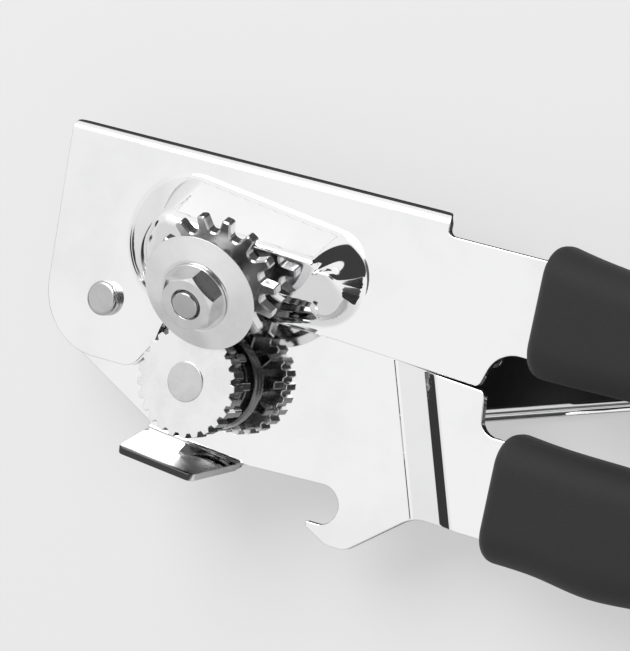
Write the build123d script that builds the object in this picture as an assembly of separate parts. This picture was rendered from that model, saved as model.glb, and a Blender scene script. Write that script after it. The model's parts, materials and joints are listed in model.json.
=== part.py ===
from build123d import *
import os
from math import acos, atan2, cos, degrees, hypot, pi, radians, sin, tan

# Working frame of the head, in millimetres: the crank axis is the origin of X and Y,
# X runs along the handles, Y towards the upper plate's top edge, and Z = 0 is the
# front face of the lower plate. table_shift() gives the move to the finished part's own frame.

# clearances
running_clearance = 0.05     # radial, shaft in its bush, wheel on its stud, plate on its rivet
axial_play = 0.1             # between faces that turn against each other
edge_gap = 0.5               # between the two plates where they lie in one plane
overlap = 1.0                # how far a cut or a joined body reaches past the face that it meets
beyond = 300.0               # the reach of a cutting body past the whole part

# sheet metal of the two plates
sheet = 1.5
lower_front = 0.0
lower_back = lower_front - sheet

# pivot
pivot_x = -26.4
pivot_y = 9.6
pivot_washer_thickness = 0.4
pivot_washer_radius = 5.6
pivot_shank_radius = 2.3
pivot_head_radius = 3.2
pivot_head_height = 1.2
pivot_tail_radius = 4.4
pivot_tail_height = 1.3

upper_back = lower_front + pivot_washer_thickness
upper_front = upper_back + sheet
handle_middle = (upper_back + upper_front) / 2

# upper plate outline
upper_eye_radius = 12.9
upper_left = -41.1
upper_left_slant = 1.8       # the left edge leans in by this much from flange to bottom
upper_bottom = -1.9
head_top = 41.4
head_end = 42.2
flange_depth = 5.0
flange_bend = 2.2
gear_bay_radius = 14.2       # clear of the feed wheel
bay_mouth_x = -18.0          # the bottom edge turns up into the bay here
bay_mouth_round = 4.0
bay_low_inset = 0.3          # the bay's two left corners lie inside its radius by this
bay_low_y = 4.2
bay_low_round = 1.5
bay_high_inset = 1.4
bay_high_y = 9.0
bay_high_round = 6.0
bay_top_x = -5.5
bay_top_round = 3.0
lip_start_x = 24.0
lip_y = 13.6
lip_end_x = 54.2
lip_end_y = 12.3
upper_tang_low = 19.5
upper_tang_high = 37.5
notch_run = 2.4              # from the lip's end to the start of the tang
notch_corner = 6.0
small_round = 1.2            # outer corners of both plates

# lower plate outline
lower_eye_radius = 12.5
lower_eye_drop = 7.4         # below the pivot, where the left edge turns under
lower_eye_low_round = 10.6
lower_bottom = -13.1
lower_tang_low = -14.4
lower_tang_high = 4.1
lower_shelf_end = 31.0
lower_shelf_round = 4.0
shelf_step = 2.5             # the shelf's end leans by this much
shelf_step_round = 2.0
neck_x = 55.7
neck_lean = 0.9
neck_round = 3.2

# the step that brings the lower handle into the upper plate's plane
joggle_start = 38.0
joggle_ramp = 6.2            # run of the shallow ramp
joggle_ramp_rise = 0.7
joggle_step = 2.2            # run of the steep step after it
joggle_slant = 19.6          # degrees between the bend lines and Y

# cap lifter hook
hook_x = 26.6
hook_y = -16.9
hook_radius = 3.8
hook_point_x = 24.4
hook_point_y = -21.7
hook_bottom = -24.1
hook_point_round = 0.3
hook_belly_x = 29.3
hook_belly_round = 4.5
hook_heel_x = 33.4
hook_heel_round = 4.0
hook_root_x = 45.9           # where the hook's back runs into the handle
hook_root_round = 8.0

# rim guide tab
tab_left = -11.6
tab_right = 9.2
tab_fold = -14.4
tab_reach = 10.4             # from the plate's front face to the tab's front edge
tab_flare = 12.5             # degrees beyond square
tab_turn = -2.7              # degrees of the fold line to X
tab_taper = 3.4
tab_left_taper = 0.6
tab_taper_start = 1.0        # height where the right edge starts to lean in
tab_bend = 1.6
tab_overlap = 4.0            # length of the leaf inside the plate
tab_left_gap = 0.2           # the plate's outline beside the tab
tab_right_gap = 0.4
tab_gap_rise = 0.2
tab_relief = 1.4
tab_relief_round = 0.8

# boss of the upper plate, a teardrop between two round ends
boss_left_x = -10.9
boss_left_y = 24.0
boss_left_radius = 12.6
boss_right_x = 18.8
boss_right_y = 23.4
boss_right_radius = 8.9
boss_draft = 40.0            # degrees of the boss wall from Z
boss_block_margin = 0.3
boss_foot_round = 1.6

# cutter axis: where it meets the boss seat, and its lean
seat_x = 2.3
seat_y = 22.3
seat_z = 8.0
cutter_lean = 25.5           # degrees, front end towards the feed wheel
cutter_lead = 2.8            # degrees, front end towards the handles

# cutter stack, heights above the seat along the cutter axis
stud_radius = 3.0
stud_head_radius = 4.2
stud_head_thickness = 1.4
cutter_thrust_thickness = 0.7
cutter_thrust_radius = 6.0
cutter_teeth = 14
cutter_gear_tip = 12.9
cutter_gear_root = 9.6
cutter_gear_thickness = 3.5
cutter_tooth_turn = 1.9      # degrees of the first tooth to the gear's X
bushing_wall = 1.2
spacer_radius = 8.2
spacer_length = 5.6
wheel_radius = 11.5
wheel_back_radius = 10.3
wheel_land_radius = 7.2
wheel_back_bevel = 1.1
wheel_edge = 0.15
wheel_front_rise = 1.3
nut_washer_thickness = 0.5
nut_washer_radius = 6.6
nut_across_flats = 10.0
nut_height = 3.0
nut_corner_land = 0.1        # the turned-off face is smaller than the flats by this
nut_turn = 16.0
stud_stand_out = 0.5

# crank axis stack, heights above the lower plate's front face
shaft_radius = 3.8
bearing_neck_radius = 5.4
bearing_flange_radius = 9.2
bearing_flange_thickness = 1.4
bearing_step_radius = 7.2
bearing_step_height = 2.2
bearing_tail_radius = 6.3
bearing_tail_height = 0.8
drive_thrust_radius = 7.8
drive_thrust_thickness = 0.6
drive_teeth = 11
drive_gear_tip = 9.9
drive_gear_root = 6.9
drive_gear_thickness = 3.6
feed_radius = 10.5
feed_notch_depth = 0.85
feed_teeth = 25
feed_turn = -73.6
feed_thickness = 3.6
shaft_proud = 0.25

# behind the lower plate
back_washer_thickness = 0.8
back_washer_radius = 6.8
spring_height = 1.1
spring_strip = 0.4
spring_radius = 7.0

# crank arm, a pressed channel with its rim turned back
crank_turn = 18.0            # degrees from X at rest
crank_length = 86.0          # crank axis to the centre of the round end
crank_half_width = 10.2
crank_sheet = 1.4
crank_rim_depth = 4.0
crank_lip = 1.2
crank_lip_thickness = 1.0
crank_hub_flat = 13.0
crank_drop_end = 38.0
crank_drop = 9.0
crank_edge_round = 1.0
crank_square = 5.4
crank_hub_washer_thickness = 0.8
crank_hub_washer_radius = 5.4
shaft_rivet_radius = 4.4
shaft_rivet_height = 1.2

# grip scales on the crank
crank_grip_start = 40.0
crank_grip_front_thickness = 1.6
crank_grip_back_proud = 1.0
crank_grip_clearance = 0.3
crank_rivet_radius = 1.8
crank_rivet_sink = 0.4       # the rivet heads lie this far below the scales
crank_rivet_places = (52.0, 84.0)

# handle grips
grip_middle_thickness = 14.0
grip_front_round = 2.6
grip_back_round = 2.2
core_front_gap = 4.0
core_back_gap = 25.0
core_side = 0.8              # core beside the tang
core_thickness = 7.0
core_corner = 3.0
tang_step = 1.0              # the tang is this much narrower at each side inside its core
tang_short = 3.0             # and stops this far before the core does
tang_end_round = 5.0
grip_pin_radius = 2.0
grip_pin_spacing = 46.0
grip_pin_first = 22.0
hang_hole_radius = 3.0
hang_hole_from_end = 8.5

# the grips' outlines: distance along X, lower edge, upper edge, share of the full thickness
upper_grip_stations = (
    (64.0, 16.7, 41.4, 0.98),
    (71.0, 16.7, 40.2, 0.99),
    (80.0, 16.9, 39.2, 0.97),
    (98.0, 17.0, 38.9, 0.97),
    (125.0, 16.0, 39.6, 1.05),
    (150.0, 17.0, 39.0, 1.00),
    (166.0, 18.4, 38.0, 0.92),
    (175.0, 21.4, 35.4, 0.66),
)
lower_grip_stations = (
    (62.4, -17.7, 6.3, 0.98),
    (72.0, -17.8, 5.6, 0.98),
    (84.0, -19.0, 5.4, 1.00),
    (98.0, -18.0, 5.3, 0.98),
    (125.0, -18.8, 6.0, 1.05),
    (150.0, -17.8, 5.0, 1.00),
    (166.0, -16.2, 3.8, 0.92),
    (175.0, -13.2, 0.8, 0.66),
)

# heights worked out from the stacks
bearing_top = lower_front + bearing_flange_thickness + bearing_step_height
drive_gear_back = bearing_top + drive_thrust_thickness + 2 * axial_play
feed_back = drive_gear_back + drive_gear_thickness
feed_front = feed_back + feed_thickness
bearing_tail_end = lower_back - bearing_tail_height
back_washer_back = bearing_tail_end - axial_play - back_washer_thickness
crank_hub_front = back_washer_back - spring_height
crank_hub_back = crank_hub_front - crank_sheet
hub_washer_back = crank_hub_back - crank_hub_washer_thickness
shaft_end = hub_washer_back - shaft_rivet_height

gear_back = cutter_thrust_thickness + axial_play
gear_front = gear_back + cutter_gear_thickness
wheel_back = gear_front + spacer_length
wheel_rim = wheel_back + wheel_back_bevel
wheel_front = wheel_rim + wheel_edge + wheel_front_rise
nut_washer_back = wheel_front + axial_play
nut_back = nut_washer_back + nut_washer_thickness
nut_front = nut_back + nut_height
bushing_bore = stud_radius + running_clearance
bushing_radius = bushing_bore + bushing_wall


def drum(radius, low, high):
    """A round body about Z between two heights."""
    return Pos(0, 0, low) * Cylinder(radius, high - low, align=(Align.CENTER, Align.CENTER, Align.MIN))


def ring(outer, inner, low, high):
    """A round body with a bore."""
    return drum(outer, low, high) - drum(inner, low - overlap, high + overlap)


def slab(face, low, high):
    """A flat face raised between two heights."""
    return extrude(Pos(0, 0, low) * face, high - low)


def rounded_face(corners):
    """A face from its corners, each given as x, y and the radius of its rounding."""
    face = make_face(Polyline(*[(x, y) for x, y, radius in corners], close=True))
    for x, y, radius in corners:
        if radius:
            face = fillet(face.vertices().sort_by_distance((x, y, 0))[0], radius)
    return face


def axis_direction():
    """Unit direction of the cutter axis, pointing out of the front."""
    lean = radians(cutter_lean)
    lead = radians(cutter_lead)
    return (sin(lead), -sin(lean) * cos(lead), cos(lean) * cos(lead))


def cutter_place():
    """The cutter's own frame: its Z is the cutter axis and its Z = 0 the boss seat."""
    return Plane(origin=(seat_x, seat_y, seat_z), x_dir=(1, 0, 0), z_dir=axis_direction()).location


def toothed_face(teeth, tip, root, tip_share, root_share, turn):
    """A gear outline with straight flanks. The shares are of one pitch."""
    pitch = 2 * pi / teeth
    points = []
    for number in range(teeth):
        middle = radians(turn) + number * pitch
        for radius, side in ((root, -root_share), (tip, -tip_share), (tip, tip_share), (root, root_share)):
            angle = middle + side * pitch / 2
            points.append((radius * cos(angle), radius * sin(angle)))
    return make_face(Polyline(*points, close=True))


# ---------------------------------------------------------------- plates

def lower_outline():
    """The lower plate seen from the front, without tab and hook throat."""
    eye_left = pivot_x - lower_eye_radius
    shelf_top = pivot_y + lower_eye_radius
    return rounded_face((
        (eye_left, shelf_top, lower_eye_radius),
        (eye_left, pivot_y - lower_eye_drop, lower_eye_low_round),
        (tab_left - tab_left_gap, tab_fold, 0),
        (tab_right + tab_right_gap, tab_fold + tab_gap_rise, 0),
        (tab_right + tab_right_gap + tab_relief, lower_bottom, tab_relief_round),
        (hook_point_x, lower_bottom, 0),
        (hook_point_x, hook_point_y, hook_point_round),
        (hook_belly_x, hook_bottom, hook_belly_round),
        (hook_heel_x, hook_bottom, hook_heel_round),
        (hook_root_x, lower_tang_low, hook_root_round),
        *tang_corners(lower_grip_stations, lower_tang_low, lower_tang_high),
        (neck_x + neck_lean, lower_tang_high, neck_round),
        (neck_x, lip_end_y - edge_gap, small_round),
        (lower_shelf_end + shelf_step, lip_y - edge_gap, shelf_step_round),
        (lower_shelf_end, shelf_top, lower_shelf_round),
    ))


def joggled_sheet():
    """The lower plate's sheet seen edge on: flat head, step, flat handle in the upper plate's plane."""
    ramp_end = joggle_start + joggle_ramp
    ramp_top = lower_front + joggle_ramp_rise
    runs = (0, atan2(joggle_ramp_rise, joggle_ramp), atan2(upper_front - ramp_top, joggle_step), 0)
    bends = ((joggle_start, lower_front), (ramp_end, ramp_top), (ramp_end + joggle_step, upper_front))
    back = []
    for number, (x, z) in enumerate(bends):
        before, after = runs[number:number + 2]
        mitre = sheet / cos((after - before) / 2)
        lean = (before + after) / 2
        back.append((x + mitre * sin(lean), z - mitre * cos(lean)))
    front = ((-beyond, lower_front), *bends, (beyond, upper_front))
    back = ((beyond, upper_back), *reversed(back), (-beyond, lower_back))
    band = extrude(Plane.XZ * make_face(Polyline(*front, *back, close=True)), beyond, both=True)
    return Rot(0, 0, joggle_slant) * band


def tab_leaf():
    """The rim guide, folded forward out of the lower plate's edge."""
    fold_y = tab_fold + sheet / 2
    flare = tan(radians(tab_flare))
    middle = lower_front - sheet / 2
    path = FilletPolyline((fold_y + tab_overlap, middle), (fold_y, middle),
                          (fold_y - flare * (tab_reach - middle), tab_reach), radius=tab_bend)
    leaf = extrude(Plane.YZ * make_face(trace(path, sheet)), beyond, both=True)
    low = lower_back - overlap
    high = tab_reach + overlap
    trim = make_face(Polyline((tab_left, low), (tab_right, low), (tab_right, tab_taper_start),
                              (tab_right - tab_taper, high), (tab_left + tab_left_taper, high), close=True))
    leaf = leaf & extrude(Plane.XZ * trim, beyond, both=True)
    return Rot(0, 0, tab_turn) * leaf


def make_lower_plate():
    throat = Pos(hook_x, hook_y) * Circle(hook_radius)
    mouth = hook_x - hook_point_x + overlap
    throat += Pos(hook_x - mouth / 2, hook_y) * Rectangle(mouth, 2 * hook_radius)
    plate = joggled_sheet() & slab(lower_outline() - throat, lower_back - overlap, upper_front + overlap)
    plate += tab_leaf()
    plate -= Pos(pivot_x, pivot_y, 0) * drum(pivot_shank_radius, lower_back - overlap, lower_front + overlap)
    plate -= drum(bearing_neck_radius, lower_back - overlap, lower_front + overlap)
    return plate


def upper_outline():
    """The upper plate seen from the front, up to the start of the flange bend."""
    return rounded_face((
        (upper_left, head_top - flange_bend, 0),
        (upper_left + upper_left_slant, upper_bottom, upper_eye_radius),
        (bay_mouth_x, upper_bottom, bay_mouth_round),
        (bay_low_inset - gear_bay_radius, bay_low_y, bay_low_round),
        (bay_high_inset - gear_bay_radius, bay_high_y, bay_high_round),
        (bay_top_x, lip_y, bay_top_round),
        (lip_start_x, lip_y, 0),
        (lip_end_x, lip_end_y, small_round),
        (lip_end_x + notch_run, upper_tang_low, notch_corner),
        *tang_corners(upper_grip_stations, upper_tang_low, upper_tang_high),
        (head_end, upper_tang_high, small_round),
        (head_end, head_top - flange_bend, 0),
    ))


def round_ends_face(left_radius, right_radius):
    """The boss outline: two round ends and the lines that touch both."""
    ends = ((boss_left_x, boss_left_y, left_radius), (boss_right_x, boss_right_y, right_radius))
    run = hypot(boss_right_x - boss_left_x, boss_right_y - boss_left_y)
    along = atan2(boss_right_y - boss_left_y, boss_right_x - boss_left_x)
    open_angle = acos((left_radius - right_radius) / run)

    def on_end(end, angle):
        x, y, radius = ends[end]
        return (x + radius * cos(along + angle), y + radius * sin(along + angle))

    return make_face([
        ThreePointArc(on_end(0, open_angle), on_end(0, pi), on_end(0, -open_angle)),
        Line(on_end(0, -open_angle), on_end(1, -open_angle)),
        ThreePointArc(on_end(1, -open_angle), on_end(1, 0), on_end(1, open_angle)),
        Line(on_end(1, open_angle), on_end(0, open_angle)),
    ])


def boss_block(shrink, sink):
    """The boss as a solid block: drafted walls under the leaning seat."""
    draft = tan(radians(boss_draft))
    slope = tan(radians(cutter_lean))
    seat_rise = seat_z - upper_front - sink / cos(radians(cutter_lean))
    wall_run = boss_left_y + boss_left_radius - shrink - seat_y
    height = (seat_rise + slope * wall_run) / (1 + slope * draft) + boss_block_margin
    faces = []
    for rise in (0, height):
        less = shrink + rise * draft
        faces.append(Pos(0, 0, upper_front + rise) * round_ends_face(
            max(boss_left_radius - less, 0.2), max(boss_right_radius - less, 0.1)))
    block = loft(faces, ruled=True)
    return block & (cutter_place() * Pos(0, 0, -beyond / 2 - sink) * Box(beyond, beyond, beyond))


def raised_boss():
    """The boss standing on its strip of the plate, with a rounded foot, above the plate's lip."""
    low = lip_y - overlap
    top = head_top - flange_bend
    strip = Pos(0, (low + top) / 2) * Rectangle(beyond, top - low)
    boss = slab(strip, upper_back, upper_front) + (boss_block(0, 0) & slab(strip, 0, beyond))
    foot = boss.edges().filter_by(lambda edge: abs(edge.center().Z - upper_front) < 0.01
                                  and low + 0.01 < edge.center().Y < top - 0.01
                                  and abs(edge.center().X) < beyond / 4)
    return fillet(foot, boss_foot_round)


def make_upper_plate():
    wall = sheet / cos(radians(boss_draft))
    plate = slab(upper_outline(), upper_back, upper_front)
    plate += raised_boss() & slab(upper_outline(), upper_back - overlap, upper_front + seat_z + boss_left_radius)
    hollow = boss_block(wall, sheet)
    plate -= hollow
    mouth = hollow.faces().sort_by(Axis.Z)[0]
    plate -= extrude(mouth, upper_front - upper_back + overlap, dir=(0, 0, -1))
    plate += top_flange()
    plate -= Pos(pivot_x, pivot_y, 0) * drum(pivot_shank_radius + running_clearance,
                                             upper_back - overlap, upper_front + overlap)
    plate -= cutter_place() * drum(stud_radius, -sheet - overlap, overlap)
    return plate


def top_flange():
    """The head's top edge, turned back for stiffness, with rounded ends."""
    middle = (upper_back + upper_front) / 2
    out = head_top - sheet / 2
    path = FilletPolyline((head_top - flange_bend - overlap, middle), (out, middle),
                          (out, upper_front - flange_depth), radius=flange_bend - sheet / 2)
    length = head_end - upper_left
    flange = Pos(upper_left, 0, 0) * extrude(Plane.YZ * make_face(trace(path, sheet)), length)
    corners = flange.edges().filter_by(Axis.Y).filter_by(
        lambda edge: edge.center().Z < upper_front - flange_depth + 0.01)
    return fillet(corners, flange_bend)


# ---------------------------------------------------------------- pivot

def make_pivot_rivet():
    front = upper_front + axial_play / 2
    head = drum(pivot_head_radius, front, front + pivot_head_height)
    head = fillet(head.edges().sort_by(Axis.Z)[-1], pivot_head_height * 0.4)
    tail = drum(pivot_tail_radius, lower_back - pivot_tail_height, lower_back)
    tail = fillet(tail.edges().sort_by(Axis.Z)[0], pivot_tail_height * 0.6)
    rivet = head + drum(pivot_shank_radius, lower_back - pivot_tail_height / 2, front + pivot_head_height / 2)
    return Pos(pivot_x, pivot_y, 0) * (rivet + tail)


def make_pivot_washer():
    washer = ring(pivot_washer_radius, pivot_shank_radius, lower_front, upper_back)
    return Pos(pivot_x, pivot_y, 0) * washer


# ---------------------------------------------------------------- crank axis

def make_shaft_bearing():
    """A stepped bush through the lower plate, spread over the plate's back."""
    bush = drum(bearing_flange_radius, lower_front, lower_front + bearing_flange_thickness)
    bush = fillet(bush.edges().sort_by(Axis.Z)[-1], bearing_flange_thickness * 0.4)
    bush += drum(bearing_step_radius, lower_front, bearing_top)
    bush += drum(bearing_neck_radius, bearing_tail_end, lower_front)
    bush += drum(bearing_tail_radius, bearing_tail_end, lower_back)
    return bush - drum(shaft_radius + running_clearance, bearing_tail_end - overlap, bearing_top + overlap)


def make_drive_thrust_washer():
    low = bearing_top + axial_play
    return ring(drive_thrust_radius, shaft_radius + running_clearance, low, low + drive_thrust_thickness)


def mesh_turn():
    """Turn of the drive gear that puts a gap of it where the cutter gear has a tooth."""
    gear = cutter_place() * Pos(0, 0, gear_front)
    towards = degrees(atan2(gear.position.Y, gear.position.X))
    cutter_pitch = 360 / cutter_teeth
    off_line = (towards + 180 - cutter_tooth_turn) % cutter_pitch
    if off_line > cutter_pitch / 2:
        off_line -= cutter_pitch
    return towards + (off_line / cutter_pitch + 0.5) * 360 / drive_teeth


def make_drive_gear():
    face = toothed_face(drive_teeth, drive_gear_tip, drive_gear_root, 0.26, 0.66, mesh_turn())
    return slab(face - Circle(shaft_radius), drive_gear_back, feed_back)


def make_feed_wheel():
    face = toothed_face(feed_teeth, feed_radius, feed_radius - feed_notch_depth, 0.42, 0.72,
                        feed_turn + 180 / feed_teeth)
    return slab(face - Circle(shaft_radius), feed_back, feed_front)


def make_crank_shaft():
    shaft = drum(shaft_radius, crank_hub_front, feed_front + shaft_proud)
    shaft = chamfer(shaft.edges().sort_by(Axis.Z)[-1], shaft_proud * 0.8)
    shaft += slab(Rectangle(crank_square, crank_square), hub_washer_back, crank_hub_front)
    peened = drum(shaft_rivet_radius, shaft_end, hub_washer_back)
    shaft += fillet(peened.edges().sort_by(Axis.Z)[0], shaft_rivet_height * 0.6)
    return Rot(0, 0, crank_turn) * shaft


def make_back_washer():
    high = bearing_tail_end - axial_play
    return ring(back_washer_radius, shaft_radius + running_clearance, back_washer_back, high)


def make_spring_washer():
    """A dished spring washer, pressed between the back washer and the crank."""
    inner = shaft_radius + running_clearance
    section = make_face(Polyline(
        (inner, back_washer_back), (inner, back_washer_back - spring_strip),
        (spring_radius, crank_hub_front), (spring_radius, crank_hub_front + spring_strip), close=True))
    return revolve(Plane.XZ * section, Axis.Z)


# ---------------------------------------------------------------- crank

def crank_face(margin):
    """The crank seen from the front: parallel sides and round ends, grown by a margin."""
    width = 2 * (crank_half_width + margin)
    arm = Pos(crank_length / 2, 0) * Rectangle(crank_length, width)
    return arm + Circle(width / 2) + Pos(crank_length, 0) * Circle(width / 2)


def crank_side(front, back):
    """The bent crank seen edge on, between two depths below its front face."""
    line = ((-beyond, crank_hub_front), (crank_hub_flat, crank_hub_front),
            (crank_drop_end, crank_hub_front - crank_drop), (beyond, crank_hub_front - crank_drop))
    points = [(x, z - front) for x, z in line] + [(x, z - back) for x, z in reversed(line)]
    return extrude(Plane.XZ * make_face(Polyline(*points, close=True)), beyond, both=True)


def tall(face):
    """A face raised far past the crank on both sides."""
    return slab(face, -beyond, beyond)


def make_crank_arm():
    body = crank_side(0, crank_rim_depth) & tall(crank_face(0))
    front = body.faces().filter_by(lambda face: face.normal_at().Z > 0.5)
    rim = front.edges().filter_by(Axis.Y, reverse=True)
    body = fillet(rim, crank_edge_round)
    hollow = crank_side(crank_sheet, crank_rim_depth + overlap) & tall(crank_face(-crank_sheet))
    lip = crank_side(crank_rim_depth - crank_lip_thickness, crank_rim_depth) & tall(crank_face(crank_lip))
    arm = body + lip - hollow
    arm -= slab(Rectangle(crank_square, crank_square), crank_hub_back - overlap, crank_hub_front + overlap)
    for place in crank_rivet_places:
        arm -= Pos(place, 0, 0) * drum(crank_rivet_radius, -beyond, beyond)
    return Rot(0, 0, crank_turn) * arm


def crank_grip_face(margin):
    """The outline of the crank's grip scales."""
    return crank_face(margin) & (Pos(crank_grip_start + beyond / 2, 0) * Rectangle(beyond, beyond))


def make_crank_grip_front():
    front = crank_hub_front - crank_drop
    scale = slab(crank_grip_face(-crank_edge_round), front, front + crank_grip_front_thickness)
    scale = fillet(scale.faces().sort_by(Axis.Z)[-1].edges(), crank_grip_front_thickness * 0.6)
    return Rot(0, 0, crank_turn) * (scale - crank_rivet_shanks())


def make_crank_grip_back():
    front = crank_hub_front - crank_drop - crank_sheet
    back = crank_hub_front - crank_drop - crank_rim_depth - crank_grip_back_proud
    scale = slab(crank_grip_face(-crank_sheet - crank_grip_clearance), back, front)
    scale = fillet(scale.faces().sort_by(Axis.Z)[0].edges(), crank_grip_back_proud * 0.8)
    return Rot(0, 0, crank_turn) * (scale - crank_rivet_shanks())


def crank_rivet_shanks():
    high = crank_hub_front - crank_drop + crank_grip_front_thickness - crank_rivet_sink
    low = crank_hub_front - crank_drop - crank_rim_depth - crank_grip_back_proud + crank_rivet_sink
    return Compound([Pos(place, 0, 0) * drum(crank_rivet_radius, low, high) for place in crank_rivet_places])


def make_crank_hub_washer():
    face = Circle(crank_hub_washer_radius) - Rectangle(crank_square, crank_square)
    return Rot(0, 0, crank_turn) * slab(face, hub_washer_back, crank_hub_back)


# ---------------------------------------------------------------- cutter

def make_cutter_stud():
    stud = drum(stud_radius, -sheet - stud_head_thickness, nut_front + stud_stand_out)
    stud = chamfer(stud.edges().sort_by(Axis.Z)[-1], stud_stand_out * 0.6)
    head = drum(stud_head_radius, -sheet - stud_head_thickness, -sheet)
    return stud + fillet(head.edges().sort_by(Axis.Z)[0], stud_head_thickness * 0.5)


def make_cutter_thrust_washer():
    return ring(cutter_thrust_radius, stud_radius, 0, cutter_thrust_thickness)


def make_cutter_bushing():
    return ring(bushing_radius, bushing_bore, gear_back, wheel_front)


def make_cutter_gear():
    face = toothed_face(cutter_teeth, cutter_gear_tip, cutter_gear_root, 0.30, 0.62, cutter_tooth_turn)
    return slab(face - Circle(bushing_radius), gear_back, gear_front)


def make_cutter_spacer():
    return ring(spacer_radius, bushing_radius, gear_front, wheel_back)


def make_cutter_wheel():
    """The cutting disc: a coned front, a narrow rim and a bevelled back."""
    section = make_face(Polyline(
        (bushing_radius, wheel_back), (wheel_back_radius, wheel_back), (wheel_radius, wheel_rim),
        (wheel_radius, wheel_rim + wheel_edge), (wheel_land_radius, wheel_front),
        (bushing_radius, wheel_front), close=True))
    return revolve(Plane.XZ * section, Axis.Z)


def make_nut_washer():
    return ring(nut_washer_radius, stud_radius, nut_washer_back, nut_back)


def make_cutter_nut():
    """A hex nut with its front corners turned off."""
    corner = nut_across_flats / 2 / cos(radians(30))
    nut = slab(Rot(0, 0, nut_turn) * RegularPolygon(corner, 6), nut_back, nut_front)
    land = nut_across_flats / 2 - nut_corner_land
    reach = land + nut_height * tan(radians(60))
    turned = Pos(0, 0, nut_back) * Cone(reach, land, nut_height,
                                        align=(Align.CENTER, Align.CENTER, Align.MIN))
    return (nut & turned) - drum(stud_radius, nut_back - overlap, nut_front + overlap)


# ---------------------------------------------------------------- handle grips

def core_start(stations):
    return stations[0][0] + core_front_gap


def core_end(stations):
    return stations[-1][0] - core_back_gap


def tang_corners(stations, low, high):
    """The corners of a plate's tang, which steps in where the core begins."""
    start = core_start(stations)
    end = core_end(stations) - tang_short
    return ((start, low, 0), (start, low + tang_step, 0), (end, low + tang_step, tang_end_round),
            (end, high - tang_step, tang_end_round), (start, high - tang_step, 0), (start, high, 0))


def grip_body(stations):
    """The grip's outer form, lofted through rounded sections."""
    sections = []
    for x, low, high, share in stations:
        width = high - low
        thickness = grip_middle_thickness * share
        corner = min(width, thickness) * 0.44
        section = Plane.YZ * RectangleRounded(width, thickness, corner)
        sections.append(Pos(x, (low + high) / 2, handle_middle) * section)
    body = loft(sections)
    body = fillet(body.faces().sort_by(Axis.X)[0].edges(), grip_front_round)
    return fillet(body.faces().sort_by(Axis.X)[-1].edges(), grip_back_round)


def core_block(stations, tang_low, tang_high):
    """The hard core inside a grip, before the tang and the pins are taken out."""
    start = core_start(stations)
    end = core_end(stations)
    face = Pos((start + end) / 2, (tang_low + tang_high) / 2) * RectangleRounded(
        end - start, tang_high - tang_low - 2 * tang_step + 2 * core_side, core_corner)
    return slab(face, handle_middle - core_thickness / 2, handle_middle + core_thickness / 2)


def tang_block(stations, plate):
    """The stretch of a plate that the grip and its core take in."""
    start = stations[0][0] - overlap
    return plate & (Pos(start + beyond / 2, 0, 0) * Box(beyond, beyond, beyond))


def grip_pins(stations, middle):
    """Two pins through core and tang."""
    pins = []
    for number in range(2):
        x = stations[0][0] + grip_pin_first + number * grip_pin_spacing
        pin = drum(grip_pin_radius, handle_middle - core_thickness / 2, handle_middle + core_thickness / 2)
        pins.append(Pos(x, middle, 0) * pin)
    return Compound(pins)


def make_handle(plate, stations, tang_low, tang_high, name, hang_hole):
    """One handle: the plate with its pin holes, the core, the pins and the soft grip."""
    pins = grip_pins(stations, (tang_low + tang_high) / 2)
    core = core_block(stations, tang_low, tang_high)
    tang = tang_block(stations, plate)
    grip = grip_body(stations) - core - tang
    if hang_hole:
        x = stations[-1][0] - hang_hole_from_end
        middle = (stations[-1][1] + stations[-1][2]) / 2
        grip -= Pos(x, middle, 0) * drum(hang_hole_radius, -beyond, beyond)
    return {
        name + "_plate": plate - pins,
        name + "_grip_core": core - tang - pins,
        name + "_grip_pins": pins,
        name + "_grip": grip,
    }


# ---------------------------------------------------------------- the whole part

def on_cutter_axis(shape):
    return cutter_place() * shape


def make_pieces():
    """Every piece in the working frame, by the name of its node."""
    rivets = Rot(0, 0, crank_turn) * crank_rivet_shanks()
    pieces = {
        "pivot_rivet": make_pivot_rivet(),
        "pivot_washer": make_pivot_washer(),
        "shaft_bearing": make_shaft_bearing(),
        "drive_thrust_washer": make_drive_thrust_washer(),
        "drive_gear": make_drive_gear(),
        "feed_wheel": make_feed_wheel(),
        "crank_shaft": make_crank_shaft(),
        "back_washer": make_back_washer(),
        "spring_washer": make_spring_washer(),
        "crank_arm": make_crank_arm(),
        "crank_grip_front": make_crank_grip_front(),
        "crank_grip_back": make_crank_grip_back(),
        "crank_grip_rivets": rivets,
        "crank_hub_washer": make_crank_hub_washer(),
        "cutter_stud": on_cutter_axis(make_cutter_stud()),
        "cutter_thrust_washer": on_cutter_axis(make_cutter_thrust_washer()),
        "cutter_bushing": on_cutter_axis(make_cutter_bushing()),
        "cutter_gear": on_cutter_axis(make_cutter_gear()),
        "cutter_spacer": on_cutter_axis(make_cutter_spacer()),
        "cutter_wheel": on_cutter_axis(make_cutter_wheel()),
        "cutter_nut_washer": on_cutter_axis(make_nut_washer()),
        "cutter_nut": on_cutter_axis(make_cutter_nut()),
    }
    pieces.update(make_handle(make_upper_plate(), upper_grip_stations,
                              upper_tang_low, upper_tang_high, "upper", True))
    pieces.update(make_handle(make_lower_plate(), lower_grip_stations,
                              lower_tang_low, lower_tang_high, "lower", False))
    return pieces


def table_shift(pieces):
    """The move that brings the middle of the part's footprint to the origin and its lowest point to Z = 0."""
    box = Compound(list(pieces.values())).bounding_box()
    return Vector(-(box.min.X + box.max.X) / 2, -(box.min.Y + box.max.Y) / 2, -box.min.Z)


os.makedirs("parts", exist_ok=True)
pieces = make_pieces()
shift = table_shift(pieces)
for name, shape in pieces.items():
    export_step(Pos(shift) * shape, "parts/" + name + ".step")
print("nodes:", len(pieces))
print("crank axis at", [round(v, 4) for v in shift])
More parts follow.
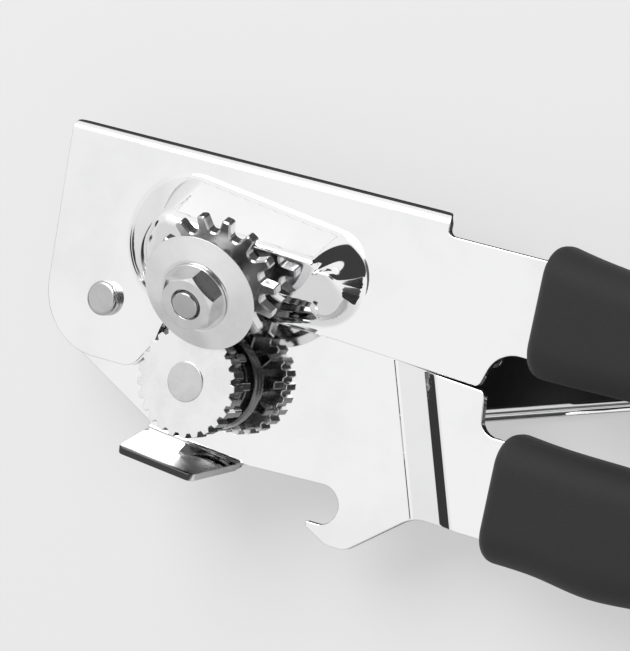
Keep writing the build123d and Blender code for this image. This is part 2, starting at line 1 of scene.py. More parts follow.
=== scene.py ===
import bpy
import json
import numpy as np
from math import acos, atan2, ceil, cos, pi, radians, sin, sqrt, tan
from mathutils import Matrix, Vector, kdtree
from mathutils.geometry import delaunay_2d_cdt

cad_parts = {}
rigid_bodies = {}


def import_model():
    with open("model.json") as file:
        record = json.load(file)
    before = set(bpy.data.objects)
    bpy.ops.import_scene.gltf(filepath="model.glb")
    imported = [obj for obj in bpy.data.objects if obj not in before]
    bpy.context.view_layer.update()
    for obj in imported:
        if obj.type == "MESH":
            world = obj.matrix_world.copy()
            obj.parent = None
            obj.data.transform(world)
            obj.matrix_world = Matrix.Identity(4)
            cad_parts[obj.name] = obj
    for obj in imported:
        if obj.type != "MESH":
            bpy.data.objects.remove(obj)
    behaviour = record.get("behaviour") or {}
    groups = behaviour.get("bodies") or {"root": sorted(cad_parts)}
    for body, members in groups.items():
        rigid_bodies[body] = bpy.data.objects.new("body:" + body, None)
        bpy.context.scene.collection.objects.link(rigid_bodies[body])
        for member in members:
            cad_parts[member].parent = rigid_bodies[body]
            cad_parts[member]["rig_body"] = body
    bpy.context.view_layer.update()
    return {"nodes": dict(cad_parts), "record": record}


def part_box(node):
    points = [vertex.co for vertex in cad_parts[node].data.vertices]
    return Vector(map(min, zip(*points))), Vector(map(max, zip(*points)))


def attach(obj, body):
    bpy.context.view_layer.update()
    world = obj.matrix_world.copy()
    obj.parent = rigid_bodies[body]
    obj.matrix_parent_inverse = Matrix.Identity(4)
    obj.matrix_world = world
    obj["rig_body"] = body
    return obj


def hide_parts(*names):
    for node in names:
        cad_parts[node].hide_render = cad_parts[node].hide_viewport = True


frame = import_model()
mm = 0.001


def middleOf(node):
    low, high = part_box(node)
    return (low + high) / 2


# The pieces are drawn in millimetres from the crank axis, with z = 0 on the lower plate's front face.
origin = Vector((middleOf("back_washer").x, middleOf("back_washer").y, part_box("pivot_washer")[0].z))
headPlace = Matrix.Translation(origin)

cutterAxis = {
    "seat": (2.3, 22.3, 8.0),
    "lean": 25.5,        # degrees, front end towards the feed wheel
    "lead": 2.8,         # degrees, front end towards the handles
}
lean, lead = radians(cutterAxis["lean"]), radians(cutterAxis["lead"])
cutterWay = Vector((sin(lead), -sin(lean) * cos(lead), cos(lean) * cos(lead)))


def placeAlong(point, way):
    across = Vector((1, 0, 0)) - way * way.x
    across.normalize()
    turn = Matrix((across, way.cross(across), way)).transposed().to_4x4()
    return Matrix.Translation(origin + Vector(point) * mm) @ turn


cutterPlace = placeAlong(cutterAxis["seat"], cutterWay)
crankTurn = 18.0
crankPlace = headPlace @ Matrix.Rotation(radians(crankTurn), 4, "Z")
pivotSpot = (-26.4, 9.6)
pivotPlace = headPlace @ Matrix.Translation((pivotSpot[0] * mm, pivotSpot[1] * mm, 0))
print("frame read,", len(frame["nodes"]), "nodes")


# ---- shading: a socket that can be used in sums, and one way to add any node

def grey(tone):
    return (tone, tone, tone, 1)


class Wire:
    def __init__(self, nodes, socket):
        self.nodes = nodes
        self.socket = socket

    def work(self, operation, first, second):
        return self.nodes.add("ShaderNodeMath", {"operation": operation}, {0: first, 1: second})

    def __add__(self, other):
        return self.work("ADD", self, other)

    def __sub__(self, other):
        return self.work("SUBTRACT", self, other)

    def __mul__(self, other):
        return self.work("MULTIPLY", self, other)

    def __truediv__(self, other):
        return self.work("DIVIDE", self, other)


class Nodes:
    def __init__(self, tree):
        self.tree = tree

    def add(self, kind, settings=None, inputs=None, output=0):
        node = self.tree.nodes.new(kind)
        for name, value in (settings or {}).items():
            if name == "stops":
                ramp = node.color_ramp
                while len(ramp.elements) < len(value):
                    ramp.elements.new(0.5)
                for element, (place, shade) in zip(ramp.elements, value):
                    element.position = place
                    element.color = (shade, shade, shade, 1)
            else:
                setattr(node, name, value)
        for name, value in (inputs or {}).items():
            if isinstance(value, Wire):
                self.tree.links.new(value.socket, node.inputs[name])
            else:
                node.inputs[name].default_value = value
        return Wire(self, node.outputs[output] if node.outputs else None)

    def noise(self, place, scale, detail=2.0, roughness=0.5):
        return self.add("ShaderNodeTexNoise", None,
                        {"Vector": place, "Scale": scale, "Detail": detail, "Roughness": roughness})

    def ramp(self, value, stops, ease="LINEAR"):
        made = self.add("ShaderNodeValToRGB", {"stops": stops}, {"Fac": value})
        made.socket.node.color_ramp.interpolation = ease
        return made

    def blend(self, factor, first, second):
        return self.add("ShaderNodeMix", {"data_type": "RGBA"}, {0: factor, 6: first, 7: second}, 2)

    def bump(self, height, depth, under=None):
        inputs = {"Height": height, "Strength": 1.0, "Distance": depth}
        if under:
            inputs["Normal"] = under
        return self.add("ShaderNodeBump", None, inputs)

    def place(self):
        return self.add("ShaderNodeTexCoord", None, None, 3)

    def axis(self, place, number):
        return self.add("ShaderNodeSeparateXYZ", None, {0: place}, number)

    def mirroredRay(self):
        return self.add("ShaderNodeLightPath", None, None, 3)

    def fromAxis(self, place):
        # distance from a piece's own axis, in metres
        way = place.to_3x3() @ Vector((0, 0, 1))
        away = self.add("ShaderNodeVectorMath", {"operation": "SUBTRACT"},
                        {0: self.place(), 1: place.translation})
        across = self.add("ShaderNodeVectorMath", {"operation": "CROSS_PRODUCT"}, {0: away, 1: way})
        return self.add("ShaderNodeVectorMath", {"operation": "LENGTH"}, {0: across}, 1)


def newMaterial(name, values):
    material = bpy.data.materials.new(name)
    material.use_nodes = True
    nodes = Nodes(material.node_tree)
    shader = material.node_tree.nodes["Principled BSDF"]
    for socket, value in values.items():
        shader.inputs[socket].default_value = value
    return material, nodes, shader


def connect(nodes, shader, **links):
    for name, wire in links.items():
        nodes.tree.links.new(wire.socket, shader.inputs[{"color": "Base Color", "roughness": "Roughness",
                                                         "normal": "Normal", "glow": "Emission Color"}[name]])


chrome = {
    "tone": (0.93, 0.93, 0.935), "smudgeTone": (0.868, 0.868, 0.874),
    "polish": 0.035, "smudgePolish": 0.085,
    "waveScale": 55.0, "waveDepth": 0.00001, "grainScale": 900.0, "grainDepth": 0.0000001,
}
# the tab under the feed wheel: brushed (rougher), with painted shade: its colour is darkened to hold down the
# lamp's highlight on it, and a painted dark line runs along its cut end
guide = {"below": 14.6, "roughness": 0.2, "tone": 0.74, "paintedShadeFrom": 9.75, "paintedShadeTone": 0.07}


def chromeFinish(name, brushed=False):
    material, nodes, shader = newMaterial(name, {"Metallic": 1.0})
    spot = nodes.place()
    smudge = nodes.ramp(nodes.noise(spot, 38, 4, 0.6), ((0.42, 0.0), (0.72, 1.0)), "EASE")
    color = nodes.blend(smudge, (*chrome["tone"], 1), (*chrome["smudgeTone"], 1))
    roughness = smudge * (chrome["smudgePolish"] - chrome["polish"]) + chrome["polish"]
    waves = nodes.bump(nodes.noise(spot, chrome["waveScale"], 1), chrome["waveDepth"])
    grain = nodes.bump(nodes.noise(spot, chrome["grainScale"], 2), chrome["grainDepth"], waves)
    if brushed:
        below = (nodes.axis(spot, 1) - (origin.y - guide["below"] * mm)) * -1000
        forward = (nodes.axis(spot, 2) - origin.z) * 1000
        onGuide = nodes.ramp(below, ((0.0, 0.0), (0.8, 1.0))) * nodes.ramp(forward, ((0.0, 0.0), (0.9, 1.0)))
        roughness = roughness + onGuide * guide["roughness"]
        # painted shade: the tab's colour is darkened to hold down the lamp's highlight
        color = nodes.blend(onGuide, color, grey(guide["tone"]))
        # painted shade: a near-black band painted along the tab's front end, standing in for the dark line of
        # shade there
        paintedEndShade = nodes.ramp(forward - guide["paintedShadeFrom"], ((0.0, 0.0), (0.35, 1.0))) * onGuide
        color = nodes.blend(paintedEndShade, color, grey(guide["paintedShadeTone"]))
    connect(nodes, shader, color=color, roughness=roughness, normal=grain)
    return material


def steelFinish(name, tone, darkTone, polish, place=None, ringScale=2600.0, ringDepth=0.000004,
                grainScale=1500.0, grainDepth=0.000003):
    material, nodes, shader = newMaterial(name, {"Metallic": 1.0})
    spot = nodes.place()
    patches = nodes.noise(spot, 160, 4, 0.6)
    mask = nodes.ramp(patches, ((0.35, 0.0), (0.7, 1.0)), "EASE")
    color = nodes.blend(mask, (tone, tone, tone * 1.005, 1), (darkTone, darkTone, darkTone * 1.005, 1))
    roughness = patches * 0.12 + (polish - 0.06)
    normal = nodes.bump(nodes.noise(spot, grainScale, 3), grainDepth)
    if place:
        rings = nodes.add("ShaderNodeTexNoise", {"noise_dimensions": "1D"},
                          {"W": nodes.fromAxis(place), "Scale": ringScale, "Detail": 2.0})
        normal = nodes.bump(rings, ringDepth, normal)
    connect(nodes, shader, color=color, roughness=roughness, normal=normal)
    return material


softGrip = {
    "tone": 0.014, "paleTone": 0.019, "roughness": 0.66,
    "grainScale": 4200.0, "grainDepth": 0.00004, "fleckScale": 9000.0, "fleckTone": 0.075, "fleckShare": 0.35,
}


def softGripFinish():
    material, nodes, shader = newMaterial("soft_grip", {"Specular IOR Level": 0.35, "Sheen Weight": 0.12,
                                                        "Sheen Roughness": 0.5})
    spot = nodes.place()
    clouds = nodes.noise(spot, 90, 4, 0.6)
    flecks = nodes.ramp(nodes.noise(spot, softGrip["fleckScale"], 1), ((0.62, 0.0), (0.75, 1.0)))
    body = nodes.blend(clouds, grey(softGrip["tone"]), grey(softGrip["paleTone"]))
    color = nodes.blend(flecks * softGrip["fleckShare"], body, grey(softGrip["fleckTone"]))
    roughness = clouds * 0.12 + softGrip["roughness"]
    normal = nodes.bump(nodes.noise(spot, softGrip["grainScale"], 3, 0.7), softGrip["grainDepth"])
    connect(nodes, shader, color=color, roughness=roughness, normal=normal)
    return material


def coreFinish():
    material, nodes, shader = newMaterial("grip_core", {"Roughness": 0.6})
    grain = nodes.noise(nodes.place(), 700, 3)
    color = nodes.blend(grain, grey(0.07), grey(0.1))
    connect(nodes, shader, color=color, normal=nodes.bump(grain, 0.00004))
    return material


finishes = {
    "chromed_sheet": chromeFinish("chromed_sheet"),
    "guide_sheet": chromeFinish("guide_sheet", True),
    "soft_grip": softGripFinish(),
    "grip_core": coreFinish(),
    "hard_steel": steelFinish("hard_steel", 0.30, 0.16, 0.26),
    "tooth_flank": steelFinish("tooth_flank", 0.86, 0.7, 0.16),
    "pin_steel": steelFinish("pin_steel", 0.54, 0.46, 0.24),
    "shaft_steel": steelFinish("shaft_steel", 0.66, 0.56, 0.28, headPlace, 3200.0, 0.000006),
    "cutting_disc": steelFinish("cutting_disc", 0.86, 0.80, 0.14, cutterPlace),
    "feed_face": steelFinish("feed_face", 0.88, 0.8, 0.26, headPlace, 900.0, 0.000006),
    "bearing_steel": steelFinish("bearing_steel", 0.20, 0.13, 0.26, headPlace),
    "plated_fixings": steelFinish("plated_fixings", 0.78, 0.66, 0.2),
}
print("finishes made")


# ---- outlines and meshes

def roundedLine(corners, step, closed=True):
    # corners are x, y and rounding; returns points and their normals, to the right of the way round
    spots, normals = [], []
    count = len(corners)
    for number, (x, y, radius) in enumerate(corners):
        here = np.array((x, y), float)
        if not closed and number in (0, count - 1):
            spots.append(here)
            normals.append(None)
            continue
        toLast = np.array(corners[number - 1][:2]) - here
        toNext = np.array(corners[(number + 1) % count][:2]) - here
        toLast /= np.linalg.norm(toLast)
        toNext /= np.linalg.norm(toNext)
        opening = acos(np.clip(toLast @ toNext, -1, 1))
        if pi - opening < 0.002:
            spots.append(here)
            normals.append(np.array((toNext[1], -toNext[0])))
            continue
        radius = max(radius, 0.05)
        centre = here + (toLast + toNext) / np.linalg.norm(toLast + toNext) * radius / sin(opening / 2)
        start = here + toLast * radius / tan(opening / 2) - centre
        end = here + toNext * radius / tan(opening / 2) - centre
        first = atan2(start[1], start[0])
        turn = (atan2(end[1], end[0]) - first + pi) % (2 * pi) - pi
        steps = max(3, ceil(abs(turn) * radius / step), ceil(abs(turn) / radians(12)))
        for part in range(steps + 1):
            angle = first + turn * part / steps
            way = np.array((cos(angle), sin(angle)))
            spots.append(centre + way * radius)
            normals.append(way if turn > 0 else -way)
    filled, filledNormals = [], []
    last = len(spots) if closed else len(spots) - 1
    for number in range(len(spots)):
        filled.append(spots[number])
        filledNormals.append(normals[number])
        if number < last:
            along = spots[(number + 1) % len(spots)] - spots[number]
            length = np.linalg.norm(along)
            pieces = ceil(length / (3 * step)) if length > 1.8 * step else 1
            for part in range(1, pieces):
                filled.append(spots[number] + along * part / pieces)
                filledNormals.append(np.array((along[1], -along[0])) / length)
    for number in (0, -1):
        if filledNormals[number] is None:
            other = 1 if number == 0 else -2
            along = (filled[other] - filled[number]) * (1 if number == 0 else -1)
            filledNormals[number] = np.array((along[1], -along[0])) / np.linalg.norm(along)
    return np.array(filled), np.array(filledNormals)


def holeLine(x, y, radius, count=72):
    angles = -np.linspace(0, 2 * pi, count, endpoint=False)
    way = np.stack((np.cos(angles), np.sin(angles)), 1)
    return way * radius + (x, y), -way


def insideOf(loops, points):
    inside = np.zeros(len(points), bool)
    x, y = points[:, 0], points[:, 1]
    for line, normals in loops:
        ends = np.roll(line, -1, 0)
        for (ax, ay), (bx, by) in zip(line, ends):
            if ay != by:
                crosses = (ay > y) != (by > y)
                inside ^= crosses & (x < (bx - ax) * (y - ay) / (by - ay) + ax)
    return inside


def distances(points, others):
    # from each point to the nearest of the others
    tree = kdtree.KDTree(len(others))
    for number, (x, y) in enumerate(others):
        tree.insert((x, y, 0), number)
    tree.balance()
    return np.array([tree.find((x, y, 0))[2] for x, y in points])


def innerPoints(loops, spacing, zones):
    # a triangle grid inside the loops, finer in the zones
    line = loops[0][0]
    low, high = line.min(0), line.max(0)
    made = []
    for number, (x0, y0, x1, y1, gap) in enumerate([*zones, (*low, *high, spacing)]):
        x0, y0, x1, y1 = max(x0, low[0]), max(y0, low[1]), min(x1, high[0]), min(y1, high[1])
        if x1 <= x0 or y1 <= y0:
            continue
        xs, ys = np.meshgrid(np.arange(x0, x1, gap), np.arange(y0, y1, gap * 0.866))
        xs[1::2] += gap / 2
        points = np.stack((xs.ravel(), ys.ravel()), 1)
        keep = insideOf(loops, points)
        for ax, ay, bx, by, _ in zones[:number]:
            keep &= ~((points[:, 0] > ax - gap / 2) & (points[:, 0] < bx + gap / 2)
                      & (points[:, 1] > ay - gap / 2) & (points[:, 1] < by + gap / 2))
        made += [(x, y, gap) for x, y in points[keep]]
    made = np.array(made)
    edge = np.concatenate([line for line, normals in loops])
    return made[distances(made[:, :2], edge) > np.minimum(made[:, 2], 1.2) * 0.55, :2]


def withCreases(inner, creases, loops, clear=0.3):
    # rows of points along the bends, in place of the loose ones beside them
    edge = np.concatenate([line for line, normals in loops])
    rows = creases[insideOf(loops, creases)]
    rows = rows[distances(rows, edge) > 0.12]
    return np.concatenate((inner[distances(inner, rows) > clear], rows))


def normalsOf(surface, points, step=0.02):
    alongX = surface(points + (step, 0)) - surface(points - (step, 0))
    alongY = surface(points + (0, step)) - surface(points - (0, step))
    normals = np.cross(alongX, alongY)
    return normals / np.linalg.norm(normals, axis=1)[:, None]


def linked(name, data):
    made = bpy.data.objects.new(name, data)
    bpy.context.scene.collection.objects.link(made)
    return made


def eased(share):
    return share * share * (3 - 2 * share)


def stripFaces(pairs, count):
    # quads between rows of points, each row with this many
    return [(a * count + k, a * count + k + 1, b * count + k + 1, b * count + k)
            for a, b in pairs for k in range(count - 1)]


def ringFaces(low, high):
    # faces between two closed rows of points, either of which may be a single point
    count = max(len(low), len(high))
    faces = []
    for k in range(count):
        after = (k + 1) % count
        if len(low) == 1:
            faces.append((low[0], high[after], high[k]))
        elif len(high) == 1:
            faces.append((low[k], low[after], high[0]))
        else:
            faces.append((low[k], low[after], high[after], high[k]))
    return faces


def meshFrom(name, points, faces, normals=None, place=Matrix.Identity(4)):
    points = np.array(points) * mm
    turn = np.array(place.to_3x3())
    points = points @ turn.T + np.array(place.translation)
    mesh = bpy.data.meshes.new(name)
    mesh.from_pydata(points.tolist(), [], faces)
    mesh.polygons.foreach_set("use_smooth", [True] * len(mesh.polygons))
    if normals is not None:
        mesh.normals_split_custom_set_from_vertices((np.array(normals) @ turn.T).tolist())
    return linked(name, mesh)


def pressedSheet(name, loops, surface, thickness, rounding, spacing, zones=(), place=headPlace, arcSteps=3,
                 creases=None):
    # a sheet bent to a surface: front and back faces, and every edge rounded over
    outlines = [(line - normals * rounding, normals) for line, normals in loops]
    inner = innerPoints(outlines, spacing, list(zones))
    if creases is not None:
        inner = withCreases(inner, creases, outlines)
    edgePoints = np.concatenate([line for line, normals in outlines])
    total = len(edgePoints)
    flat = np.concatenate((edgePoints, inner))
    links, start = [], 0
    for line, normals in outlines:
        links += [(start + k, start + (k + 1) % len(line)) for k in range(len(line))]
        start += len(line)
    spots, _, triangles, fromSpot, _, _ = delaunay_2d_cdt([Vector(p) for p in flat], links, [], 0, 1e-6)
    spots = np.array([tuple(p) for p in spots])
    back = [f[0] if f else -1 for f in fromSpot]
    triangles = np.array([t for t in triangles if len(t) == 3])
    centres = spots[triangles].mean(1)
    triangles = triangles[insideOf(outlines, centres)]
    a, b, c = (spots[triangles[:, k]] for k in range(3))
    flip = np.cross(b - a, c - a) < 0
    triangles[flip] = triangles[flip][:, ::-1]
    triangles = np.array([[back[k] for k in t] for t in triangles])
    triangles = triangles[(triangles >= 0).all(1)]
    # rings from the front face round the edge to the back face
    rings = []
    for first, base in ((0, 0.0), (90, thickness - 2 * rounding)):
        for part in range(arcSteps + 1):
            angle = radians(first + 90 * part / arcSteps)
            rings.append((rounding * (1 - sin(angle)), base + rounding * (1 - cos(angle)), angle))
    line, outward = (np.concatenate([loop[k] for loop in loops]) for k in (0, 1))
    points, normals = [], []
    for inset, depth, angle in rings:
        flatSpot = line - outward * inset
        front = surface(flatSpot)
        up = normalsOf(surface, flatSpot)
        out = surface(flatSpot + outward * 0.02) - surface(flatSpot - outward * 0.02)
        out -= up * (out * up).sum(1)[:, None]
        out /= np.linalg.norm(out, axis=1)[:, None]
        points.append(front - up * depth)
        normals.append(up * cos(angle) + out * sin(angle))
    front = surface(inner)
    up = normalsOf(surface, inner)
    points += [front, front - up * thickness]
    normals += [up, -up]
    points, normals = np.concatenate(points), np.concatenate(normals)
    innerFront = total * len(rings)
    innerBack = innerFront + len(inner)
    lastRing = total * (len(rings) - 1)
    faces = []
    for t in triangles.tolist():
        faces.append([k if k < total else k - total + innerFront for k in t])
        faces.append([k + lastRing if k < total else k - total + innerBack for k in reversed(t)])
    for ring in range(len(rings) - 1):
        low, high = ring * total, (ring + 1) * total
        for k, after in links:
            faces.append([low + k, high + k, high + after, low + after])
    return meshFrom(name, points, faces, normals, place)


def turnedPiece(name, corners, place, segments=96, step=0.25):
    # corners are radius, height and rounding; a profile from axis to axis is open, one round a bore is closed
    closed = corners[0][0] > 0
    line, normals = roundedLine(corners, step, closed)
    angles = np.linspace(0, 2 * pi, segments, endpoint=False)
    points, ways, rows = [], [], []
    for (radius, height), (out, up) in zip(line, normals):
        if radius < 1e-6:
            rows.append([len(points)])
            points.append((0, 0, height))
            ways.append((0, 0, up))
            continue
        rows.append(list(range(len(points), len(points) + segments)))
        points += [(radius * cos(a), radius * sin(a), height) for a in angles]
        ways += [(out * cos(a), out * sin(a), up) for a in angles]
    faces = []
    for number in range(len(rows) if closed else len(rows) - 1):
        faces += ringFaces(rows[number], rows[(number + 1) % len(rows)])
    return meshFrom(name, points, faces, ways, place)


def washerCorners(outer, inner, low, high, rounding=0.12):
    return ((inner, low, rounding), (outer, low, rounding), (outer, high, rounding), (inner, high, rounding))


# ---- what repeats round an axis is made once and repeated by Geometry Nodes

def newTree(name, sockets):
    # a tree, a way to add nodes to it and its inputs; the first input is the piece itself
    tree = bpy.data.node_groups.new(name, "GeometryNodeTree")
    tree.interface.new_socket("Geometry", in_out="OUTPUT", socket_type="NodeSocketGeometry")
    for label, kind in (("Piece", "Geometry"), *sockets):
        tree.interface.new_socket(label, in_out="INPUT", socket_type="NodeSocket" + kind)
    nodes = Nodes(tree)
    given = nodes.add("NodeGroupInput").socket.node.outputs
    return tree, nodes, [Wire(nodes, given[k]) for k in range(len(sockets) + 1)]


def realCopies(nodes, spots, piece, rotation=None):
    inputs = {"Points": spots, "Instance": piece}
    if rotation:
        inputs["Rotation"] = rotation
    copies = nodes.add("GeometryNodeInstanceOnPoints", None, inputs)
    return nodes.add("GeometryNodeRealizeInstances", None, {"Geometry": copies})


def paintAndGive(nodes, geometry, paint):
    painted = nodes.add("GeometryNodeSetMaterial", None, {"Geometry": geometry, "Material": paint})
    nodes.add("NodeGroupOutput", None, {"Geometry": painted})


def meshThrough(tree, piece, values):
    # the mesh that the tree makes of a piece, which is used up
    modifier = piece.modifiers.new("repeat", "NODES")
    modifier.node_group = tree
    for item in tree.interface.items_tree:
        if item.in_out == "INPUT" and item.name in values:
            modifier[item.identifier] = values[item.name]
    mesh = bpy.data.meshes.new_from_object(piece.evaluated_get(bpy.context.evaluated_depsgraph_get()))
    bpy.data.objects.remove(piece)
    return mesh


def repeatTree():
    tree, nodes, (segment, count, start, weld, paint) = newTree(
        "repeatAround", (("Count", "Int"), ("Start turn", "Float"), ("Weld distance", "Float"),
                         ("Finish", "Material")))
    spots = nodes.add("GeometryNodePoints", None, {"Count": count})
    turn = nodes.add("GeometryNodeInputIndex") * (2 * pi) / count + start
    real = realCopies(nodes, spots, segment, nodes.add("ShaderNodeCombineXYZ", None, {"Z": turn}))
    welded = nodes.add("GeometryNodeMergeByDistance", None, {"Geometry": real, "Distance": weld})
    paintAndGive(nodes, welded, paint)
    return tree


aroundTree = repeatTree()
weldDistance = 0.000008


def repeatAround(name, segment, count, startTurn, face, place, sharpAngle=28, flank=None):
    mesh = meshThrough(aroundTree, segment, {"Count": count, "Start turn": radians(startTurn),
                                             "Weld distance": weldDistance, "Finish": finishes[face]})
    mesh.name = name
    if flank:
        # painted light and shade: the flanks take their own tone, apart from the faces of the same steel
        mesh.materials.clear()
        for side in (face, flank):
            mesh.materials.append(finishes[side])
        for polygon in mesh.polygons:
            polygon.material_index = 1 if abs(polygon.normal.z) < 0.3 else 0    # steep faces are flanks
    mesh.transform(place)
    mesh.polygons.foreach_set("use_smooth", [True] * len(mesh.polygons))
    mesh.set_sharp_from_angle(angle=radians(sharpAngle))
    return linked(name, mesh)


def gearSegment(spec):
    # one pitch of a gear: a tooth between two half gaps, its face edges chamfered
    pitch = 2 * pi / spec["teeth"]
    half = pitch / 2
    tip, root = spec["tip"], spec["root"]
    tipHalf, rootHalf = spec["tipShare"] * half, spec["rootShare"] * half
    low, high = spec["low"], spec["high"]
    def at(radius, angle):
        return (radius * cos(angle), radius * sin(angle))
    rootRound, tipRound = spec["rootRound"], spec["tipRound"]
    corners = [(*at(root, -half), 0), (*at(root, -rootHalf), rootRound), (*at(tip, -tipHalf), tipRound),
               (*at(tip, tipHalf), tipRound), (*at(root, rootHalf), rootRound), (*at(root, half), 0)]
    line, normals = roundedLine(corners, 0.35, False)
    for end, side in ((0, -1), (-1, 1)):
        normals[end] = at(1, side * half)
    chamfer = spec["chamfer"]
    levels = ((chamfer, low), (0, low + chamfer), (0, high - chamfer), (chamfer, high))
    points = []
    for inset, height in levels:
        points += [(x, y, height) for x, y in line - normals * inset]
    boreLine = [at(spec["bore"], atan2(y, x)) for x, y in line]
    points += [(x, y, low) for x, y in boreLine] + [(x, y, high) for x, y in boreLine]
    faces = stripFaces(((0, 1), (1, 2), (2, 3), (3, 5), (5, 4), (4, 0)), len(line))
    return meshFrom("segment", points, faces)


# ---- how a piece takes its place, finish and body

def finish(piece, material, node):
    # the piece stands for this node and moves with its body
    if len(piece.data.materials) < 2:
        piece.data.materials.clear()
        piece.data.materials.append(finishes[material])
    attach(piece, frame["nodes"][node]["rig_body"])
    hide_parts(node)
    return piece


# ---- handles: where the tangs step in

handle = {
    "upper": {"start": 64.0, "end": 175.0, "low": 19.5, "high": 37.5},
    "lower": {"start": 62.4, "end": 175.0, "low": -14.4, "high": 4.1},
    "coreFront": 4.0, "coreBack": 25.0, "tangShort": 3.0, "step": 1.0, "endRound": 5.0,
}


def tangCorners(side):
    spec = handle[side]
    start = spec["start"] + handle["coreFront"]
    end = spec["end"] - handle["coreBack"] - handle["tangShort"]
    low, high, step = spec["low"], spec["high"], handle["step"]
    return [(start, low, 0.3), (start, low + step, 0.3), (end, low + step, handle["endRound"]),
            (end, high - step, handle["endRound"]), (start, high - step, 0.3), (start, high, 0.3)]


def softRamp(x, width):
    # 0 before a bend, x after it, and a rounded bend between
    return np.where(x < -width, 0.0, np.where(x > width, x, (x + width) ** 2 / (4 * width)))


def softLess(a, b, width):
    # the smaller of two heights, rounded where they cross
    return b - softRamp(b - a, width)


# ---- upper plate

upperPlate = {
    "sheet": 1.5, "front": 1.9, "edgeRound": 0.22,
    "left": -41.1, "slant": 1.8, "bottom": -1.9, "eyeRound": 12.9,
    "top": 41.4, "headEnd": 42.0, "flangeDepth": 3.0, "bend": 2.0,
    "bay": ((-18.0, -1.9, 4.0), (-13.9, 4.2, 1.5), (-12.8, 9.0, 6.0), (-5.5, 13.6, 3.0)),
    "lip": ((54.2, 12.3, 1.2), (56.6, 19.5, 6.0)), "cornerRound": 1.2,
    "fineZones": ((-25.5, 9.0, 29.5, 39.4, 0.42), (-45, 39.0, 45, 42.0, 0.45)),     # boss and bend
}
boss = {
    "left": (-10.9, 24.0, 12.6), "right": (19.2, 24.4, 8.8),
    "sideSlope": 52.0, "endSlope": 58.0, "leftSlope": 43.0, "lowSlope": 45.0, "cornerEase": 0.5,
    "footWidth": 0.9, "rimWidth": 1.3, "rimWidthLeft": 2.4, "rimFrom": 8.0, "rimRun": 22.0,
}


def bossRise(x, y):
    # height of the raised boss above the plate: drafted walls under the leaning seat
    lx, ly, leftRadius = boss["left"]
    rx, ry, rightRadius = boss["right"]
    run = sqrt((rx - lx) ** 2 + (ry - ly) ** 2)
    ux, uy = (rx - lx) / run, (ry - ly) / run
    along = (x - lx) * ux + (y - ly) * uy
    over = -(x - lx) * uy + (y - ly) * ux
    across = np.abs(over)
    tilt = (leftRadius - rightRadius) / run
    steep = sqrt(1 - tilt * tilt)
    reach = along * steep - across * tilt
    side = along * tilt + across * steep - leftRadius
    atLeft = np.sqrt(along ** 2 + across ** 2) - leftRadius
    atRight = np.sqrt((along - run) ** 2 + across ** 2) - rightRadius
    depth = -np.where(reach < 0, atLeft, np.where(reach > run * steep, atRight, side))
    endwise = np.where(reach < 0, along / (atLeft + leftRadius + 1e-6),
                       np.where(reach > run * steep, (along - run) / (atRight + rightRadius + 1e-6), tilt))
    sideRise, endRise, leftRise, lowRise = (tan(radians(boss[side])) for side in
                                            ("sideSlope", "endSlope", "leftSlope", "lowSlope"))
    flank = np.where(over < 0, lowRise, sideRise)
    rise = flank + (np.where(endwise < 0, leftRise, endRise) - flank) * endwise ** 2
    corner = np.where((endwise > 0) & (over > 0), endwise ** 2 * (1 - endwise ** 2), 0)
    wall = depth * (rise - boss["cornerEase"] * 4 * corner)
    sx, sy, sz = cutterAxis["seat"]
    seat = sz - upperPlate["front"] - (cutterWay.x * (x - sx) + cutterWay.y * (y - sy)) / cutterWay.z
    share = eased(np.clip((boss["rimFrom"] - x) / boss["rimRun"], 0, 1))
    rim = boss["rimWidth"] + (boss["rimWidthLeft"] - boss["rimWidth"]) * share
    return softRamp(softLess(wall, seat, rim), boss["footWidth"])


def upperSurface(points):
    x, v = points[:, 0], points[:, 1]
    spec = upperPlate
    start = spec["top"] - spec["bend"]
    middle = spec["bend"] - spec["sheet"] / 2
    angle = np.clip((v - start) / middle, 0, pi / 2)
    past = np.maximum(v - start - middle * pi / 2, 0)
    y = np.where(v < start, v, start + spec["bend"] * np.sin(angle))
    z = spec["front"] - spec["bend"] * (1 - np.cos(angle)) - past
    z = z + np.where(v < start, bossRise(x, v), 0)
    return np.stack((x, y, z), 1)


def makeUpperPlate():
    spec = upperPlate
    flat = spec["top"] - spec["bend"]
    blankTop = flat + (spec["bend"] - spec["sheet"] / 2) * pi / 2 + spec["flangeDepth"] - spec["bend"]
    corners = [(spec["left"], blankTop, 2.2), (spec["left"], flat, 0.5),
               (spec["left"] + spec["slant"], spec["bottom"], spec["eyeRound"]),
               *spec["bay"], (24.0, spec["bay"][-1][1], 0.5), *spec["lip"], *tangCorners("upper"),
               (spec["headEnd"], handle["upper"]["high"], spec["cornerRound"]),
               (spec["headEnd"], blankTop, 3.0)]
    piece = pressedSheet("upperPlateSheet", [roundedLine(corners, 0.5)], upperSurface, spec["sheet"],
                         spec["edgeRound"], 2.4, spec["fineZones"])
    return finish(piece, "chromed_sheet", "upper_plate")


# ---- lower plate

